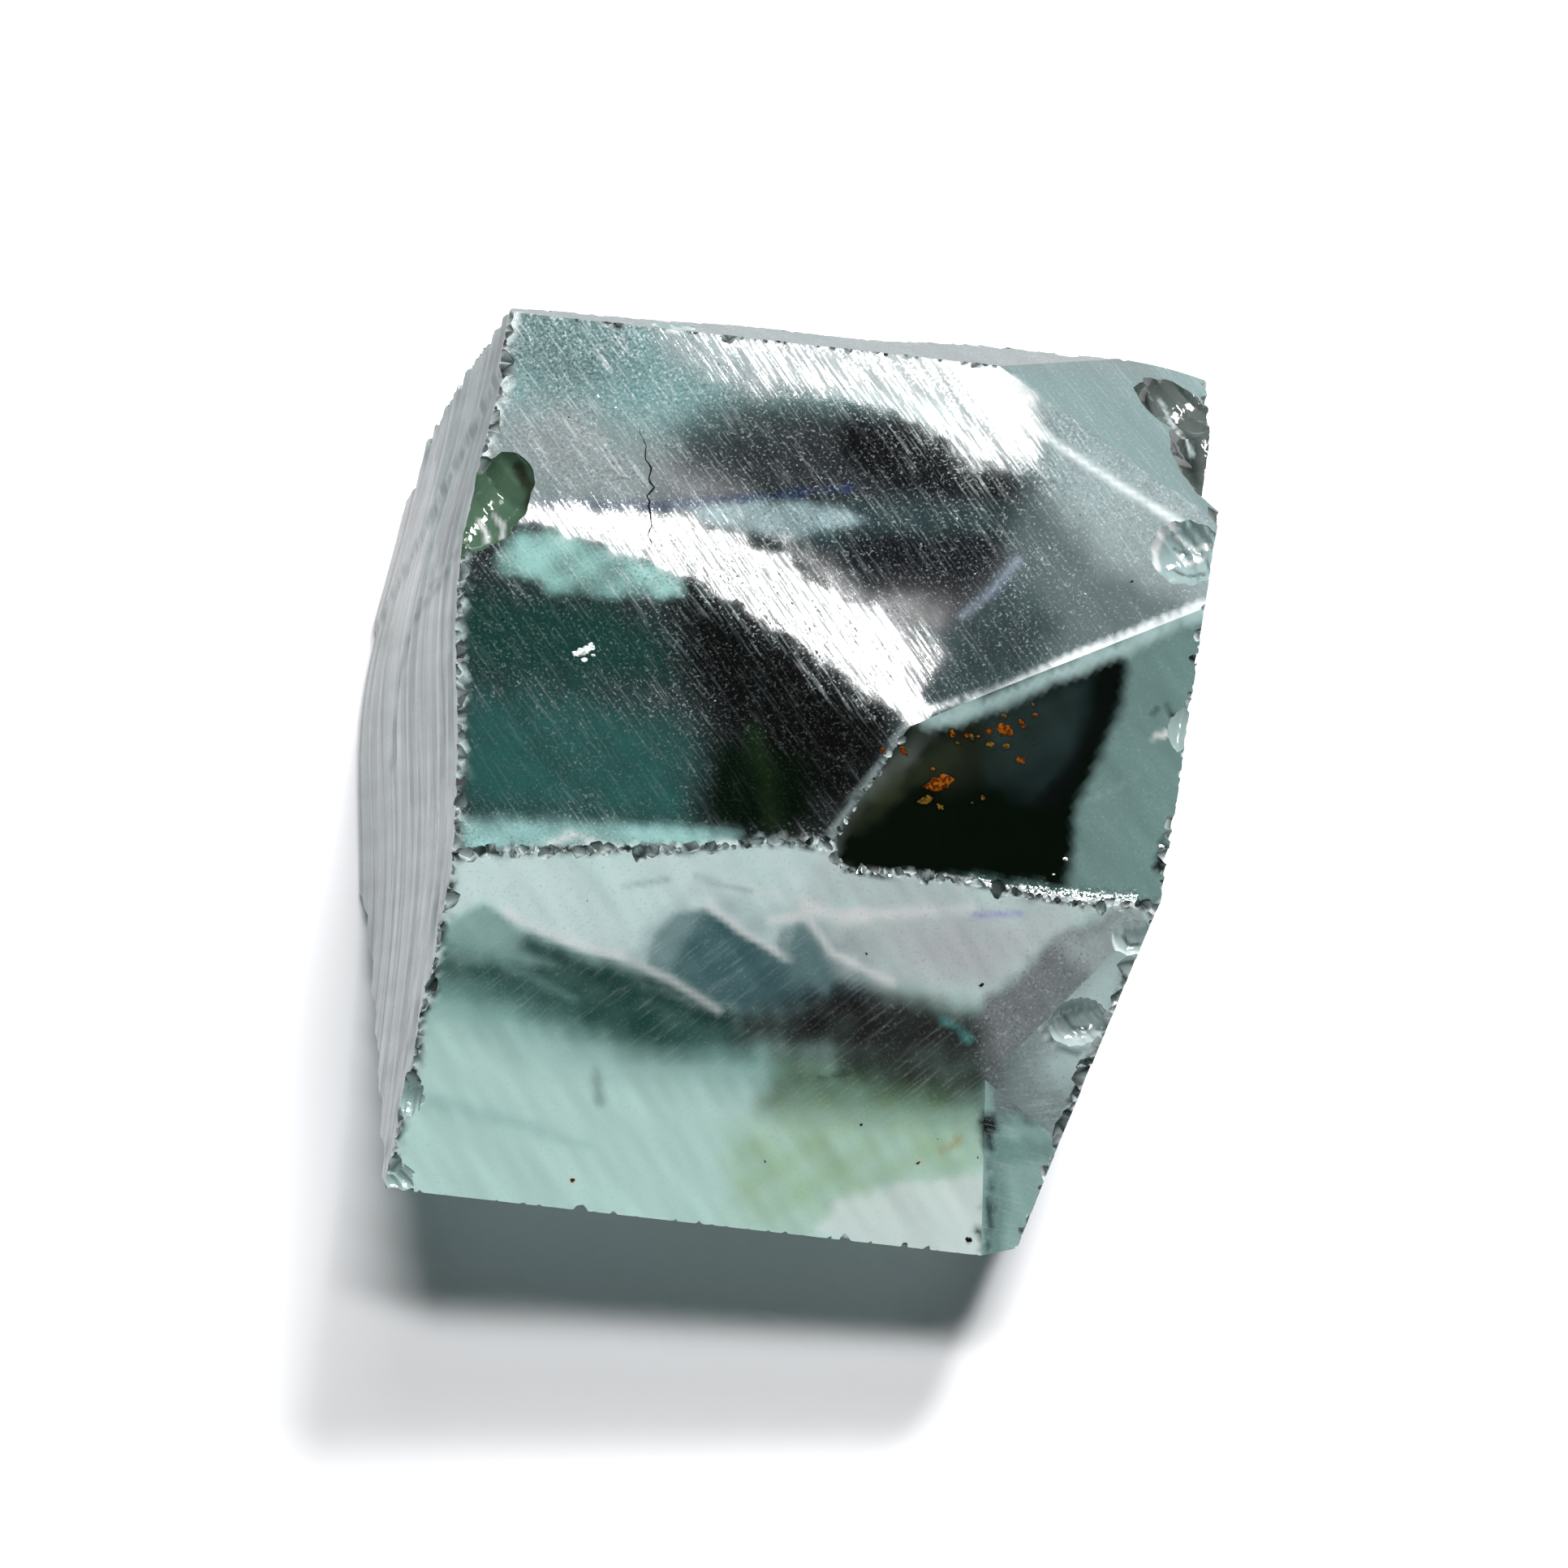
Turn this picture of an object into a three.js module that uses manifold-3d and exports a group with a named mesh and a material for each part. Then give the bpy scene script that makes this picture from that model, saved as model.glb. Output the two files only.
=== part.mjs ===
// A raw block of aquamarine: one broken length of a hexagonal beryl crystal, lying on its side.
// The crystal's long axis runs along Y. The left and right faces are grown prism faces, and all the
// others are breaks. Millimetres, +Z up, with the origin under the centre of the stone on its base.
import * as THREE from 'three';
import { mergeVertices } from 'three/addons/utils/BufferGeometryUtils.js';
import Module from 'manifold-3d';

const wasm = await Module();
wasm.setup();

// Driving dimensions, in millimetres.
const BLOCK_SPAN = 60;      // the blank that the facets are cut from, larger than the stone
const BLOCK_HEIGHT = 30;
const CUTTER_SPAN = 80;     // each facet's cutter, which reaches past the blank
const CUTTER_DEPTH = 30;
const WELD_DISTANCE = 1e-5; // corners closer than this are one corner

// Where the stone's main corners stand, before it is seated on its origin.
const BACK_LEFT_SHOULDER = [-9.64, 12.79, 13.44];
const RIDGE_LEFT_END = [-8.95, -5.46, 13.15];
const RIDGE_FORK = [2.31, -3.24, 12.45];
const SUMMIT = [4.13, 1.08, 12.39];
const BACK_SHOULDER = [5.57, 13.56, 12.47];
const RIGHT_SHOULDER = [12.69, -3.16, 10.81];
const FRONT_FOLD = [8.02, -8.91, 8.64];
const FRONT_LEFT_LIP = [-9.73, -14.96, 8.43];
const BACK_FOOT = [0.45, 15.2, 0];

// Low waves in the broken surfaces, in millimetres.
const SATIN_WAVE = { height: 0.2, leastShare: 0.4 };
const SATIN_GROWS = { fromX: -8.8, toX: -0.8 };
const SATIN_FADES = { fromY: -5.2, toY: -0.2 };
// The middles of the two front-facing flanks of that wave, as points in a line across the stone.
const BACK_FLANK = [
  [-10.8, 13.4], [-3.6, 13.1], [-0.4, 12.9], [2.8, 12.5], [5.4, 11.6], [7.2, 10.0], [11.2, 5.3],
];
const FRONT_FLANK = [
  [-10.8, 5.9], [-5.9, 6.1], [-3.3, 5.7], [-0.5, 4.3], [2.0, 2.7], [4.0, 1.2], [6.2, -0.7],
];
const PRISM_SWELL = { height: 0.95, centreY: 4.3, reach: 6 };
const PRISM_TOE = 0.45;
const SLAB = { atTop: 0.2, atBase: 0.15, edgeWidth: 0.5, edgeAtTop: 10.6, edgeAtBase: 6.6, topZ: 12 };
const STRIATION = { height: 0.05, spacing: 1.3, overtone: 2.3 };
const HOLLOW_DEPTH = 0.5;
const HOLLOW_REACH = 3.3;
const HOLLOW_CENTRE = [9.0, -0.6];
const BREAK_WAVE = { height: 0.25, length: 9, skewY: 0.4, skewZ: 0.6 };
const CHIP_SIDES = 20;
const CHIP_RINGS = 12;
const LIP_FLAT_SHARE = 0.3; // the share of the underside's rise, next to the lip, that stays flat

/**
 * The outward unit normal of a facet.
 * @param {number} dip tilt of the normal from straight up, in degrees
 * @param {number} facing bearing of the normal in the ground plane, from +X towards +Y, in degrees
 */
function outward(dip, facing) {
  const polar = THREE.MathUtils.degToRad(dip);
  const bearing = THREE.MathUtils.degToRad(facing);
  return new THREE.Vector3(
    Math.sin(polar) * Math.cos(bearing),
    Math.sin(polar) * Math.sin(bearing),
    Math.cos(polar),
  );
}

/** The y at x of a line that runs straight from point to point. */
function lineAt(points, x) {
  const last = points.length - 1;
  if (x <= points[0][0]) return points[0][1];
  if (x >= points[last][0]) return points[last][1];
  const next = points.findIndex(([pointX]) => pointX > x);
  const [x0, y0] = points[next - 1];
  const [x1, y1] = points[next];
  return THREE.MathUtils.mapLinear(x, x0, x1, y0, y1);
}

// The reliefs. Each takes a point on the facet's plane and gives how far the real surface stands
// out of that plane.

// Two low swells cross the satin break, curving down to the right. They grow from the left side,
// and fade out near the front ridge.
function satinRelief(p) {
  const front = lineAt(FRONT_FLANK, p.x);
  const back = lineAt(BACK_FLANK, p.x);
  const phase = (p.y - front) / (back - front);
  const grown = THREE.MathUtils.smoothstep(p.x, SATIN_GROWS.fromX, SATIN_GROWS.toX);
  const share = THREE.MathUtils.lerp(SATIN_WAVE.leastShare, 1, grown);
  const fade = THREE.MathUtils.smoothstep(p.y, SATIN_FADES.fromY, SATIN_FADES.toY);
  return SATIN_WAVE.height * share * fade * Math.sin(2 * Math.PI * phase);
}

// The glassy facet is hollow, as a shell-shaped break is.
function hollowRelief(p) {
  const [x, y] = HOLLOW_CENTRE;
  const reach = Math.hypot(p.x - x, p.y - y) / HOLLOW_REACH;
  return -HOLLOW_DEPTH * Math.exp(-reach * reach);
}

// Fine growth lines run along the crystal, side by side up the face.
function striations(p) {
  const turn = 2 * Math.PI * p.z / STRIATION.spacing;
  return STRIATION.height * (Math.sin(turn) + 0.5 * Math.sin(STRIATION.overtone * turn));
}

// The left prism face swells in its middle, spreads towards its foot, and has a thin slab of
// growth layers left on its back part.
function leftPrismRelief(p) {
  const reach = (p.y - PRISM_SWELL.centreY) / PRISM_SWELL.reach;
  const swell = PRISM_SWELL.height * Math.exp(-reach * reach);
  const up = THREE.MathUtils.clamp(p.z / SLAB.topZ, 0, 1);
  const edge = THREE.MathUtils.lerp(SLAB.edgeAtBase, SLAB.edgeAtTop, up);
  const thickness = THREE.MathUtils.lerp(SLAB.atBase, SLAB.atTop, up);
  const slab = thickness * THREE.MathUtils.smoothstep(p.y, edge, edge + SLAB.edgeWidth);
  return swell + PRISM_TOE * (1 - up) + slab + striations(p);
}

// Hidden breaks roll gently in two directions.
function breakRelief(p) {
  const turn = 2 * Math.PI / BREAK_WAVE.length;
  const sideways = Math.sin(turn * (p.x + BREAK_WAVE.skewY * p.y));
  const lengthways = Math.cos(turn * (p.y - BREAK_WAVE.skewZ * p.z));
  return BREAK_WAVE.height * sideways * lengthways;
}

// Under the front, the same roll fades out towards the lip, which is a straight edge.
function undersideRelief(p) {
  const lipZ = FRONT_LEFT_LIP[2];
  return breakRelief(p) * THREE.MathUtils.clamp((lipZ - p.z) / lipZ - LIP_FLAT_SHARE, 0, 1);
}

/**
 * A cutter that takes away all that lies outside one facet.
 * @param {object} facet corner it passes through, dip, facing, relief and grid cell across it
 */
function facetCutter({ corner, dip, facing, relief, cell }) {
  const cells = relief ? Math.round(CUTTER_SPAN / cell) : 1;
  const geometry = new THREE.BoxGeometry(CUTTER_SPAN, CUTTER_SPAN, CUTTER_DEPTH, cells, cells, 1);
  geometry.translate(0, 0, CUTTER_DEPTH / 2);
  const normal = outward(dip, facing);
  const turn = new THREE.Quaternion().setFromUnitVectors(new THREE.Vector3(0, 0, 1), normal);
  const place = new THREE.Matrix4().makeRotationFromQuaternion(turn).setPosition(...corner);
  const position = geometry.attributes.position;
  const point = new THREE.Vector3();
  for (let i = 0; i < position.count; i += 1) {
    point.fromBufferAttribute(position, i);
    const onFace = point.z < CUTTER_DEPTH / 2;
    point.applyMatrix4(place);
    if (onFace && relief) point.addScaledVector(normal, relief(point));
    position.setXYZ(i, point.x, point.y, point.z);
  }
  return toSolid(geometry);
}

/** Turns a closed three.js geometry into a solid that can be cut and joined. */
function toSolid(geometry) {
  geometry.deleteAttribute('normal');
  geometry.deleteAttribute('uv');
  const merged = mergeVertices(geometry, WELD_DISTANCE);
  return new wasm.Manifold(new wasm.Mesh({
    numProp: 3,
    vertProperties: new Float32Array(merged.attributes.position.array),
    triVerts: new Uint32Array(merged.index.array),
  }));
}

/** Turns a solid back into a three.js geometry with flat-shaded faces. */
function toGeometry(solid) {
  const { vertProperties, triVerts } = solid.getMesh();
  const geometry = new THREE.BufferGeometry();
  geometry.setAttribute('position', new THREE.BufferAttribute(vertProperties, 3));
  geometry.setIndex(new THREE.BufferAttribute(triVerts, 1));
  geometry.computeVertexNormals();
  return geometry;
}

/** A spoon-shaped chip: an ellipsoid with its centre near the surface it is struck from. */
function scoop({ centre, radii, lean = 0 }) {
  const geometry = new THREE.SphereGeometry(1, CHIP_SIDES, CHIP_RINGS);
  geometry.scale(...radii);
  geometry.rotateZ(THREE.MathUtils.degToRad(lean));
  geometry.translate(...centre);
  return toSolid(geometry);
}

// The facets that bound the block.
const facets = [
  // The top: a wide satin break, a frosted wing, and a glassy hollow beside the summit.
  { corner: RIDGE_LEFT_END, dip: 3.8, facing: -11.8, relief: satinRelief, cell: 1 },
  { corner: SUMMIT, dip: 8.2, facing: -10.9 },
  { corner: RIDGE_FORK, dip: 9.5, facing: -18.6, relief: hollowRelief, cell: 0.8 },
  // The front slope.
  { corner: RIDGE_FORK, dip: 28.2, facing: -72.4 },
  // The back: a bevel along the top edge, a bevel across the right corner, and the back itself.
  { corner: BACK_SHOULDER, dip: 56.3, facing: 90.4 },
  { corner: BACK_SHOULDER, dip: 41.6, facing: 52.9 },
  { corner: BACK_FOOT, dip: 88, facing: 98, relief: breakRelief, cell: 2 },
  // The two grown prism faces, which are parallel, and the break in front of the right one.
  { corner: BACK_LEFT_SHOULDER, dip: 76.1, facing: 182.4, relief: leftPrismRelief, cell: 0.65 },
  { corner: RIGHT_SHOULDER, dip: 104.1, facing: -0.7, relief: striations, cell: 0.65 },
  { corner: RIGHT_SHOULDER, dip: 98, facing: -12.7 },
  // The underside rises towards the front lip.
  { corner: FRONT_LEFT_LIP, dip: 146.3, facing: 262.6, relief: undersideRelief, cell: 2 },
];

// The front right corner is notched: two facets meet there in a hollow fold.
const notch = [
  { corner: FRONT_FOLD, dip: 44.1, facing: -57 },
  { corner: FRONT_FOLD, dip: 38.7, facing: -34.5 },
];

// The larger chips. The last four are round the foot, and all the others show from above.
const chips = [
  { centre: [-9.55, 6.25, 14.0], radii: [1.2, 2.05, 1.3], lean: -20 },
  { centre: [12.2, 8.4, 12.5], radii: [1.55, 1.4, 1.65], lean: 20 },
  { centre: [12.6, 12.8, 10.1], radii: [1.5, 3.1, 1.5], lean: 12 },
  { centre: [11.6, 15.1, 9.3], radii: [1.9, 1.6, 1.6], lean: 30 },
  { centre: [12.7, 2.6, 11.9], radii: [0.9, 1.3, 1.1] },
  { centre: [12.3, -4.5, 10.9], radii: [1.1, 0.8, 1.0] },
  { centre: [10.75, -6.85, 9.15], radii: [1.0, 0.8, 0.85], lean: 10 },
  { centre: [-4.9, 13.9, 13.1], radii: [1.2, 0.8, 1.0] },
  { centre: [-9.5, -12.5, 9.95], radii: [0.6, 0.75, 0.62] },
  { centre: [-9.4, -14.8, 9.1], radii: [0.9, 0.65, 0.75] },
  { centre: [10.4, 15.2, -0.2], radii: [2.4, 2.2, 2.0] },
  { centre: [-13.4, 13.4, -0.3], radii: [1.8, 2.0, 2.2] },
  { centre: [10.6, -2.6, -0.4], radii: [1.8, 2.4, 1.7] },
  { centre: [1.5, 15.3, 0.2], radii: [2.6, 1.5, 1.4] },
];

function buildStone() {
  const block = new THREE.BoxGeometry(BLOCK_SPAN, BLOCK_SPAN, BLOCK_HEIGHT);
  block.translate(0, 0, BLOCK_HEIGHT / 2);
  let stone = toSolid(block);
  for (const facet of facets) stone = stone.subtract(facetCutter(facet));
  const [upper, lower] = notch.map(facetCutter);
  stone = stone.subtract(upper.intersect(lower));
  for (const chip of chips) stone = stone.subtract(scoop(chip));
  return stone;
}

/** Moves the stone so that the origin is under the centre of its box, on its base. */
function seat(geometry) {
  geometry.computeBoundingBox();
  const { min } = geometry.boundingBox;
  const centre = geometry.boundingBox.getCenter(new THREE.Vector3());
  return geometry.translate(-centre.x, -centre.y, -min.z);
}

const crystal = new THREE.Mesh(
  seat(toGeometry(buildStone())),
  new THREE.MeshStandardMaterial({ color: 0x8fb5ae, roughness: 0.35, metalness: 0 }),
);
crystal.name = 'aquamarine_crystal';

const aquamarine = new THREE.Group();
aquamarine.add(crystal);

export default aquamarine;
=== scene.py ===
"""A raw aquamarine: the fine stone, what is sealed in it, and a plain studio round it.

The stone is one broken block of a hexagonal beryl crystal. It is laid out in millimetres, facet by
facet, in the way that its solid is, and is then moved into the frame in metres.
"""

import logging
from dataclasses import dataclass, field, replace
from enum import Enum
from math import cos, dist, pi, radians, sin, tan
from typing import Callable

import bmesh
import bpy
import numpy as np
from mathutils import Matrix, Vector
from mathutils.geometry import delaunay_2d_cdt


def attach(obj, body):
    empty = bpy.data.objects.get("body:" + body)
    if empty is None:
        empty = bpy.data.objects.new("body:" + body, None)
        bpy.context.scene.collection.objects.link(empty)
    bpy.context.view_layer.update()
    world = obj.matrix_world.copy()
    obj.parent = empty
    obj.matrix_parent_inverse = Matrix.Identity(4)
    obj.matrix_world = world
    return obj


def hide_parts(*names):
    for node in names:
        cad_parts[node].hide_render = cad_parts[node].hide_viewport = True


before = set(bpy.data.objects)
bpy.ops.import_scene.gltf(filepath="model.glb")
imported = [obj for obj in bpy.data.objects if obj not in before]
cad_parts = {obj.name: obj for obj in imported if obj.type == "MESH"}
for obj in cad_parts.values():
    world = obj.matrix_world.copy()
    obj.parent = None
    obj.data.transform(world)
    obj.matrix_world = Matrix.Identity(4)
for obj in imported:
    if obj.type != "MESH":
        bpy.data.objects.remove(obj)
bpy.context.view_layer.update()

log = logging.getLogger("aquamarine")

MM = 0.001
NODE = "aquamarine_crystal"
BODY = "root"

Pair = tuple[float, float]
Triple = tuple[float, float, float]
Array = np.ndarray
Corners = tuple[int, int, int]
Edges = dict[frozenset[str], np.ndarray]
Relief = Callable[[Array], Array]
Socket = bpy.types.NodeSocket
Item = bpy.types.Object
# Keeps divisions away from zero.
TINY = 1e-12

# Where the stone's main corners stand, in millimetres, before it is seated in the frame.
BACK_LEFT_SHOULDER = (-9.64, 12.79, 13.44)
RIDGE_LEFT_END = (-8.95, -5.46, 13.15)
RIDGE_FORK = (2.31, -3.24, 12.45)
SUMMIT = (4.13, 1.08, 12.39)
BACK_SHOULDER = (5.57, 13.56, 12.47)
RIGHT_SHOULDER = (12.69, -3.16, 10.81)
FRONT_FOLD = (8.02, -8.91, 8.64)
FRONT_LEFT_LIP = (-9.73, -14.96, 8.43)
BACK_FOOT = (0.45, 15.2, 0.0)
WING_TIP = (12.93, 6.77, 11.3)
# The step from that layout to the frame, whose origin is under the stone's middle.
SEAT = np.array([0.581, -0.824, 0.0])


def smoothstep(value: Array, low: float, high: float) -> Array:
    """A smooth rise from 0 at low to 1 at high.

    Args:
        value: The numbers to grade.
        low: Where the rise starts.
        high: Where the rise ends.

    Returns:
        The graded numbers, from 0 to 1.
    """
    share = np.clip((value - low) / (high - low), 0.0, 1.0)
    return share * share * (3.0 - 2.0 * share)


def side_of(start: tuple[float, ...], end: tuple[float, ...], points: Array) -> Array:
    """How far points stand to the right of the line from start to end, as seen from above."""
    along = np.array(end[:2]) - np.array(start[:2])
    along = along / np.linalg.norm(along)
    offset = points[:, :2] - np.array(start[:2])
    return offset[:, 0] * along[1] - offset[:, 1] * along[0]


def outward(dip: float, facing: float) -> Array:
    """The outward unit normal of a facet.

    Args:
        dip: Tilt of the normal from straight up, in degrees.
        facing: Bearing of the normal in the ground plane, from +X towards +Y, in degrees.

    Returns:
        The normal as three numbers.
    """
    polar, bearing = radians(dip), radians(facing)
    level = sin(polar)
    return np.array([level * cos(bearing), level * sin(bearing), cos(polar)])


@dataclass(frozen=True)
class Facet:
    """One face of the stone: a plane with a low relief on it.

    Attributes:
        name: What the face is called.
        corner: A corner of the stone that its plane passes through, in millimetres.
        dip: Tilt of its normal from straight up, in degrees.
        facing: Bearing of its normal, in degrees.
        cell: Side of the triangles that it is built from, in millimetres.
        relief: How far the real surface stands out of the plane, or nothing where it is flat.
    """

    name: str
    corner: Triple
    dip: float
    facing: float
    cell: float = 0.3
    relief: Relief | None = None

    @property
    def normal(self) -> Array:
        """The outward normal of the plane."""
        return outward(self.dip, self.facing)

    def above_plane(self, points: Array) -> Array:
        """How far points stand outside the plane, in millimetres."""
        return (points - np.array(self.corner)) @ self.normal

    def on_plane(self, points: Array) -> Array:
        """The points' feet on the plane."""
        return points - self.above_plane(points)[:, None] * self.normal

    def above(self, points: Array) -> Array:
        """How far points stand outside the real surface, in millimetres."""
        height = self.above_plane(points)
        if self.relief is None:
            return height
        return height - self.relief(self.on_plane(points))

    def axes(self) -> tuple[Array, Array]:
        """Two unit directions that lie in the plane."""
        nearly_level = 0.1
        side = np.cross([0.0, 1.0, 0.0], self.normal)
        if np.linalg.norm(side) < nearly_level:
            side = np.cross([1.0, 0.0, 0.0], self.normal)
        side /= np.linalg.norm(side)
        return side, np.cross(self.normal, side)


@dataclass(frozen=True)
class Curve:
    """A line across the stone as seen from above: y for each x, through a few points and rounded."""

    points: tuple[Pair, ...]
    rounding: float = 1.2
    samples: int = 7

    def at(self, x: Array) -> Array:
        """The line's y at each x."""
        xs, ys = zip(*self.points)
        steps = np.linspace(-self.rounding, self.rounding, self.samples)
        return np.mean([np.interp(x + step, xs, ys) for step in steps], axis=0)


@dataclass(frozen=True)
class SatinWave:
    """The two curved swells of the satin break, whose front-facing flanks shine."""

    back_shine: Curve = Curve(
        ((-10.2, 12.6), (-3.0, 12.3), (0.2, 12.1), (3.4, 11.7), (6.0, 10.8), (7.8, 9.2), (11.8, 4.5)))
    front_shine: Curve = Curve(
        ((-10.2, 5.1), (-5.3, 5.3), (-2.7, 4.9), (0.1, 3.5), (2.6, 1.9), (4.6, 0.4), (6.8, -1.5)))
    height: float = 0.2
    least_share: float = 0.4
    grows: Pair = (-8.2, -0.2)
    front_fade: Pair = (-6.0, -1.0)

    def phase(self, spots: Array) -> Array:
        """Turns counted from the front shine towards the back shine, 0 on the one and 1 on the other."""
        front = self.front_shine.at(spots[:, 0])
        back = self.back_shine.at(spots[:, 0])
        return (spots[:, 1] - front) / (back - front)

    def at(self, spots: Array) -> Array:
        """The swells' height, in millimetres."""
        share = self.least_share + (1 - self.least_share) * smoothstep(spots[:, 0], *self.grows)
        fade = smoothstep(spots[:, 1], *self.front_fade)
        return self.height * share * fade * np.sin(2 * pi * self.phase(spots))


@dataclass(frozen=True)
class Reliefs:
    """The low shapes of the stone's surfaces, all in millimetres."""

    satin: SatinWave = SatinWave()
    wing_fold_width: float = 0.12
    calm_gap: Pair = (0.0, 0.15)
    bank_depth: float = 0.3
    bank_width: float = 0.7
    bank_reach: float = 5.0
    bank_fall: float = 1.5
    bank_limits: Pair = (-1.0, 3.0)
    hollow_depth: float = 0.5
    hollow_reach: float = 3.3
    hollow_centre: Pair = (9.0, -0.6)
    swell_height: float = 0.95
    swell_centre_y: float = 4.3
    swell_reach: float = 6.0
    toe: float = 0.45
    slab_top: float = 0.2
    slab_base: float = 0.15
    slab_edge_top: float = 10.6
    slab_edge_base: float = 6.6
    slab_edge_width: float = 0.5
    slab_top_z: float = 12.0
    stria_height: float = 0.05
    stria_spacing: float = 1.3
    fine_striae: float = 2.3
    fine_stria_share: float = 0.5
    roll_height: float = 0.25
    roll_length: float = 9.0
    roll_skew: Pair = (0.4, 0.6)
    lip_calm: float = 0.3

    def top(self, points: Array) -> Array:
        """The satin break's two swells, and the soft fold down to the frosted wing."""
        drop = wing_plane.above_plane(points)
        share = 0.5 * (1 + drop / np.sqrt(drop * drop + self.wing_fold_width**2))
        fold = -0.5 * (drop + np.sqrt(drop * drop + self.wing_fold_width**2))
        calm = smoothstep(-hollow_plane.above_plane(points), *self.calm_gap)
        return self.satin.at(points + SEAT) * calm * (1 - share) + fold

    def hollow(self, points: Array) -> Array:
        """The glassy facet's bank along its upper edges, and its shell-shaped hollow."""
        reach = np.hypot(points[:, 0] - self.hollow_centre[0], points[:, 1] - self.hollow_centre[1])
        shell = -self.hollow_depth * np.exp(-((reach / self.hollow_reach) ** 2))
        inward = self.inside_hollow(points)
        rise = 1 - smoothstep(inward, self.bank_width, self.bank_reach)
        dip = -smoothstep(inward, 0, self.bank_width) * rise
        bank = np.where(inward < 0, -self.bank_fall * inward / self.bank_width, dip)
        lowered = self.bank_depth * np.clip(bank, *self.bank_limits)
        return lowered + shell * smoothstep(inward, 0, 2 * self.bank_width)

    def inside_hollow(self, points: Array) -> Array:
        """How far points stand inside the glassy facet's two upper edges, as seen from above."""
        return np.minimum(side_of(RIDGE_FORK, SUMMIT, points), side_of(SUMMIT, WING_TIP, points))

    def striae(self, points: Array) -> Array:
        """Growth lines that run along the crystal."""
        turn = 2 * pi * points[:, 2] / self.stria_spacing
        return self.stria_height * (np.sin(turn) + self.fine_stria_share * np.sin(self.fine_striae * turn))

    def left_prism(self, points: Array) -> Array:
        """The left face's swell, its spread foot, its left-over slab and its growth lines."""
        swell = self.swell_height * np.exp(-(((points[:, 1] - self.swell_centre_y) / self.swell_reach) ** 2))
        up = np.clip(points[:, 2] / self.slab_top_z, 0.0, 1.0)
        edge = self.slab_edge_base + (self.slab_edge_top - self.slab_edge_base) * up
        thickness = self.slab_base + (self.slab_top - self.slab_base) * up
        slab = thickness * smoothstep(points[:, 1] - edge, 0.0, self.slab_edge_width)
        return swell + self.toe * (1 - up) + slab + self.striae(points)

    def roll(self, points: Array) -> Array:
        """A gentle roll in two directions, on the hidden breaks."""
        turn = 2 * pi / self.roll_length
        sideways = np.sin(turn * (points[:, 0] + self.roll_skew[0] * points[:, 1]))
        return self.roll_height * sideways * np.cos(turn * (points[:, 1] - self.roll_skew[1] * points[:, 2]))

    def underside(self, points: Array) -> Array:
        """The same roll, fading out towards the straight front lip."""
        lip = FRONT_LEFT_LIP[2]
        return self.roll(points) * np.clip((lip - points[:, 2]) / lip - self.lip_calm, 0.0, 1.0)


wing_plane = Facet("frosted_wing", SUMMIT, 8.2, -10.9)
hollow_plane = Facet("glassy_hollow", RIDGE_FORK, 9.5, -18.6)
reliefs = Reliefs()

FACETS: tuple[Facet, ...] = (
    Facet("satin_top", RIDGE_LEFT_END, 3.8, -11.8, 0.2, reliefs.top),
    Facet("glassy_hollow", RIDGE_FORK, 9.5, -18.6, 0.2, reliefs.hollow),
    Facet("front_slope", RIDGE_FORK, 28.2, -72.4, 0.17),
    Facet("back_bevel", BACK_SHOULDER, 56.3, 90.4, 0.22),
    Facet("corner_bevel", BACK_SHOULDER, 41.6, 52.9, 0.22),
    Facet("back", BACK_FOOT, 88.0, 98.0, 0.4, reliefs.roll),
    Facet("left_prism", BACK_LEFT_SHOULDER, 76.1, 182.4, 0.15, reliefs.left_prism),
    Facet("right_prism", RIGHT_SHOULDER, 104.1, -0.7, 0.3, reliefs.striae),
    Facet("right_break", RIGHT_SHOULDER, 98.0, -12.7, 0.35),
    Facet("underside", FRONT_LEFT_LIP, 146.3, 262.6, 0.4, reliefs.underside),
    Facet("base", (0.0, 0.0, 0.0), 180.0, 0.0, 0.6),
)
NOTCH: tuple[Facet, ...] = (
    Facet("notch_upper", FRONT_FOLD, 44.1, -57.0, 0.22),
    Facet("notch_lower", FRONT_FOLD, 38.7, -34.5, 0.22),
)


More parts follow.
